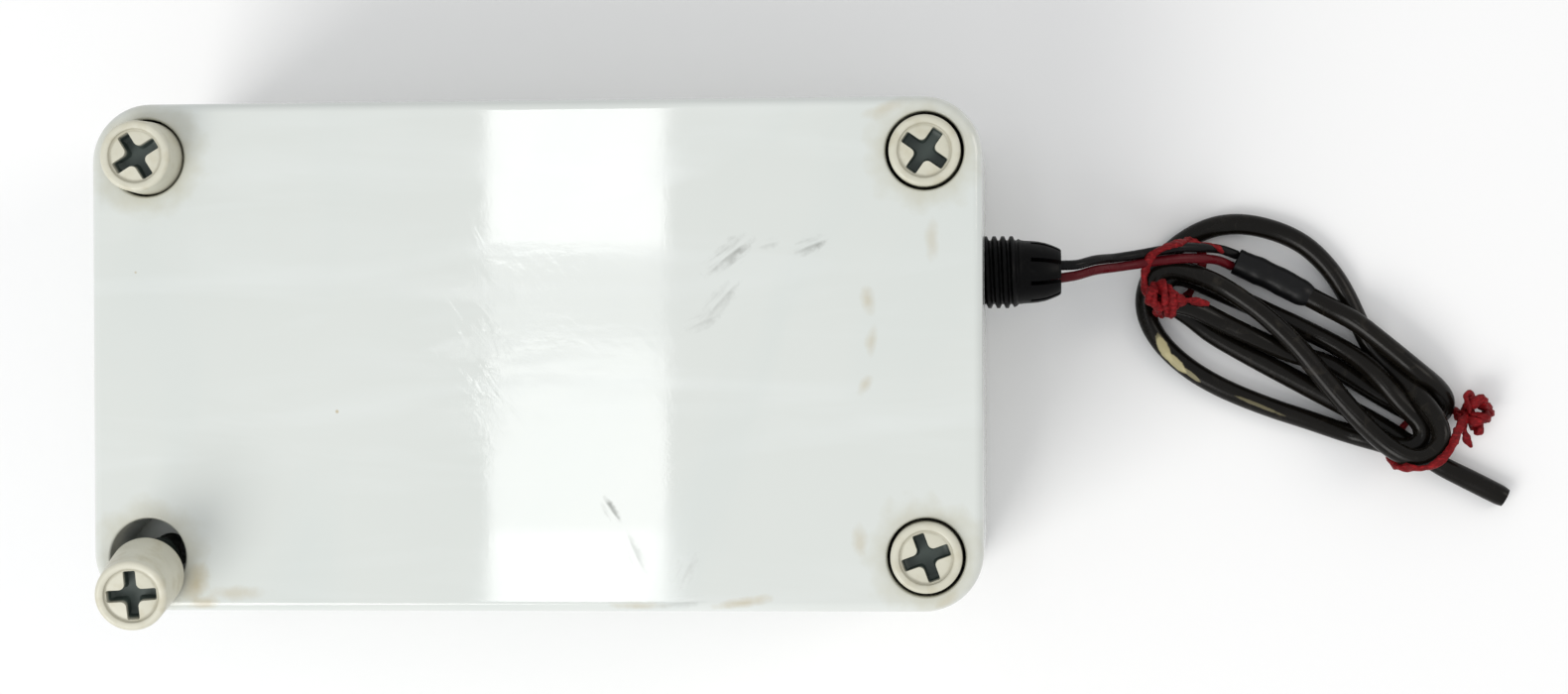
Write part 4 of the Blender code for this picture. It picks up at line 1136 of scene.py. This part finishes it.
def finish_inner_nodes():
    """Materials for the CAD nodes that stay."""
    steel = plated_metal("plated_steel", (0.42, 0.42, 0.43), (0.62, 0.62, 0.64))
    copper = plated_metal("enamelled_copper", (0.50, 0.20, 0.075), (0.72, 0.33, 0.14), (0.18, 0.30))
    chip = plain_plastic("moulded_epoxy", (0.010, 0.010, 0.010), (0.020, 0.020, 0.021))
    looks = {
        "circuit_board": solder_mask(), "receiver_module": solder_mask(),
        "terminal_block": plain_plastic("green_moulding", (0.012, 0.19, 0.07), (0.02, 0.25, 0.10)),
        "relay": plain_plastic("relay_case", (0.012, 0.07, 0.30), (0.02, 0.10, 0.38), (0.20, 0.34)),
        "controller_chip": chip, "voltage_regulator": chip, "learn_button_body": chip,
        "crystal": steel, "terminal_screw_1": steel, "terminal_screw_2": steel,
        "power_header": plain_plastic("header_nylon", (0.42, 0.40, 0.33), (0.52, 0.50, 0.42)),
        "battery_holder": plain_plastic("black_moulding", (0.014, 0.014, 0.014), (0.028, 0.028, 0.029)),
        "learn_button_plunger": plain_plastic("button_cap", (0.22, 0.012, 0.012), (0.34, 0.022, 0.02)),
        "ceramic_capacitor": plain_plastic("dipped_ceramic", (0.30, 0.15, 0.03), (0.42, 0.22, 0.05),
                                           (0.22, 0.36)),
    }
    for number in range(1, 5):
        looks[f"board_screw_{number}"] = steel
        low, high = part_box(f"battery_cell_{number}")
        looks[f"battery_cell_{number}"] = cell_wrap((low[0] + high[0]) / 2)
    codes = {"resistor_1": ((0.25, 0.04, 0.01), (0.01, 0.01, 0.01), (0.45, 0.10, 0.01)),
             "resistor_2": ((0.50, 0.35, 0.01), (0.14, 0.02, 0.20), (0.35, 0.02, 0.01))}
    for name, colors in codes.items():
        low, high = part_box(name)
        middle = (low[1] + high[1]) / 2
        bands = [(middle + (i - 1.3) * 1.15 * MM, 0.26 * MM, color) for i, color in enumerate(colors)]
        bands.append((middle + 2.4 * MM, 0.26 * MM, (0.42, 0.28, 0.06)))
        looks[name] = banded(f"{name}_lacquer", (0.50, 0.36, 0.19), bands)
    low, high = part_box("flyback_diode")
    stripe = (high[1] - 1.1 * MM, 0.35 * MM, (0.55, 0.55, 0.55))
    looks["flyback_diode"] = banded("diode_epoxy", (0.016, 0.016, 0.016), [stripe])
    low, high, _ = cad_box("filter_capacitor")
    sleeve = Finish("capacitor_sleeve", (0.012, 0.014, 0.05), (0.018, 0.02, 0.07), 160, (0.22, 0.34))
    top = sleeve.spread(sleeve.coordinate("Z"), high.z - 0.15 * MM, high.z - 0.05 * MM)
    sleeve.paint(top, (0.55, 0.55, 0.56), 0.3)
    stripe = sleeve.spread(sleeve.coordinate("X"), low.x + 1.3 * MM, low.x + 1.1 * MM)
    sleeve.paint(stripe, (0.45, 0.46, 0.48))
    sleeve.grain(900, 3, 0.01)
    looks["filter_capacitor"] = sleeve.done()
    for name, look in looks.items():
        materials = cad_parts[name].data.materials
        materials.clear()
        materials.append(look)
    build_antenna(copper)
    build_lead_frames(steel)
    build_battery_springs(steel)
    lens = Finish("led_epoxy", (0.42, 0.006, 0.004), (0.60, 0.012, 0.008), 400, (0.06, 0.12))
    lens.grain(700, 2, 0.004)
    lens.shader.inputs["Transmission Weight"].default_value = 0.35
    build_led(lens.done())


build_lid(lid_grey())
build_base(moulded_grey())
build_gasket()
build_screws()
build_gland()
build_inner_wires()
finish_inner_nodes()


# ---------------------------------------------------------------- floor and light

def build_floor():
    bm = bmesh.new()
    bmesh.ops.create_grid(bm, x_segments=1, y_segments=1, size=1.6)
    floor = solid(bm, "floor")
    paper = Finish("floor_paper", (0.80, 0.80, 0.80), (0.83, 0.83, 0.83), 3, (0.75, 0.9))
    floor.data.materials.append(paper.done())


def add_area_light(name, place, target, size, power, color):
    data = bpy.data.lights.new(name, "AREA")
    data.shape = "RECTANGLE"
    data.size, data.size_y = size
    data.energy = power
    data.color = color
    light = link(name, data)
    light.location = place
    aim = Vector(target) - Vector(place)
    light.rotation_euler = aim.to_track_quat("-Z", "Y").to_euler()


PANE_X = -0.2835


def build_lights():
    bpy.context.scene.view_settings.view_transform = "Standard"
    world = bpy.data.worlds.new("studio")
    world.use_nodes = True
    background = world.node_tree.nodes["Background"]
    background.inputs["Color"].default_value = (0.965, 0.98, 1.0, 1)
    background.inputs["Strength"].default_value = 0.80
    bpy.context.scene.world = world
    add_area_light("key", (-0.58, -0.72, 0.92), (0.0, 0, 0), (0.7, 0.7), 9.5, (1.0, 0.985, 0.96))
    add_area_light("side", (1.25, 0.35, 0.9), (0.1, 0, 0), (0.5, 0.7), 3.5, (1.0, 0.93, 0.84))
    # Four panes in a row, which the glossy lid mirrors as a bright band
    panes = (("pane_rear", 0.157, 0.160, 0.50), ("pane_middle", 0.037, 0.080, 0.085),
             ("pane_front", -0.084, 0.162, 0.40), ("pane_nearest", -0.223, 0.116, 0.42))
    for name, y, height, power in panes:
        add_area_light(name, (PANE_X, y, 2.06), (PANE_X, y, 0), (0.153, height), power, (1, 1, 1))


build_floor()
build_lights()
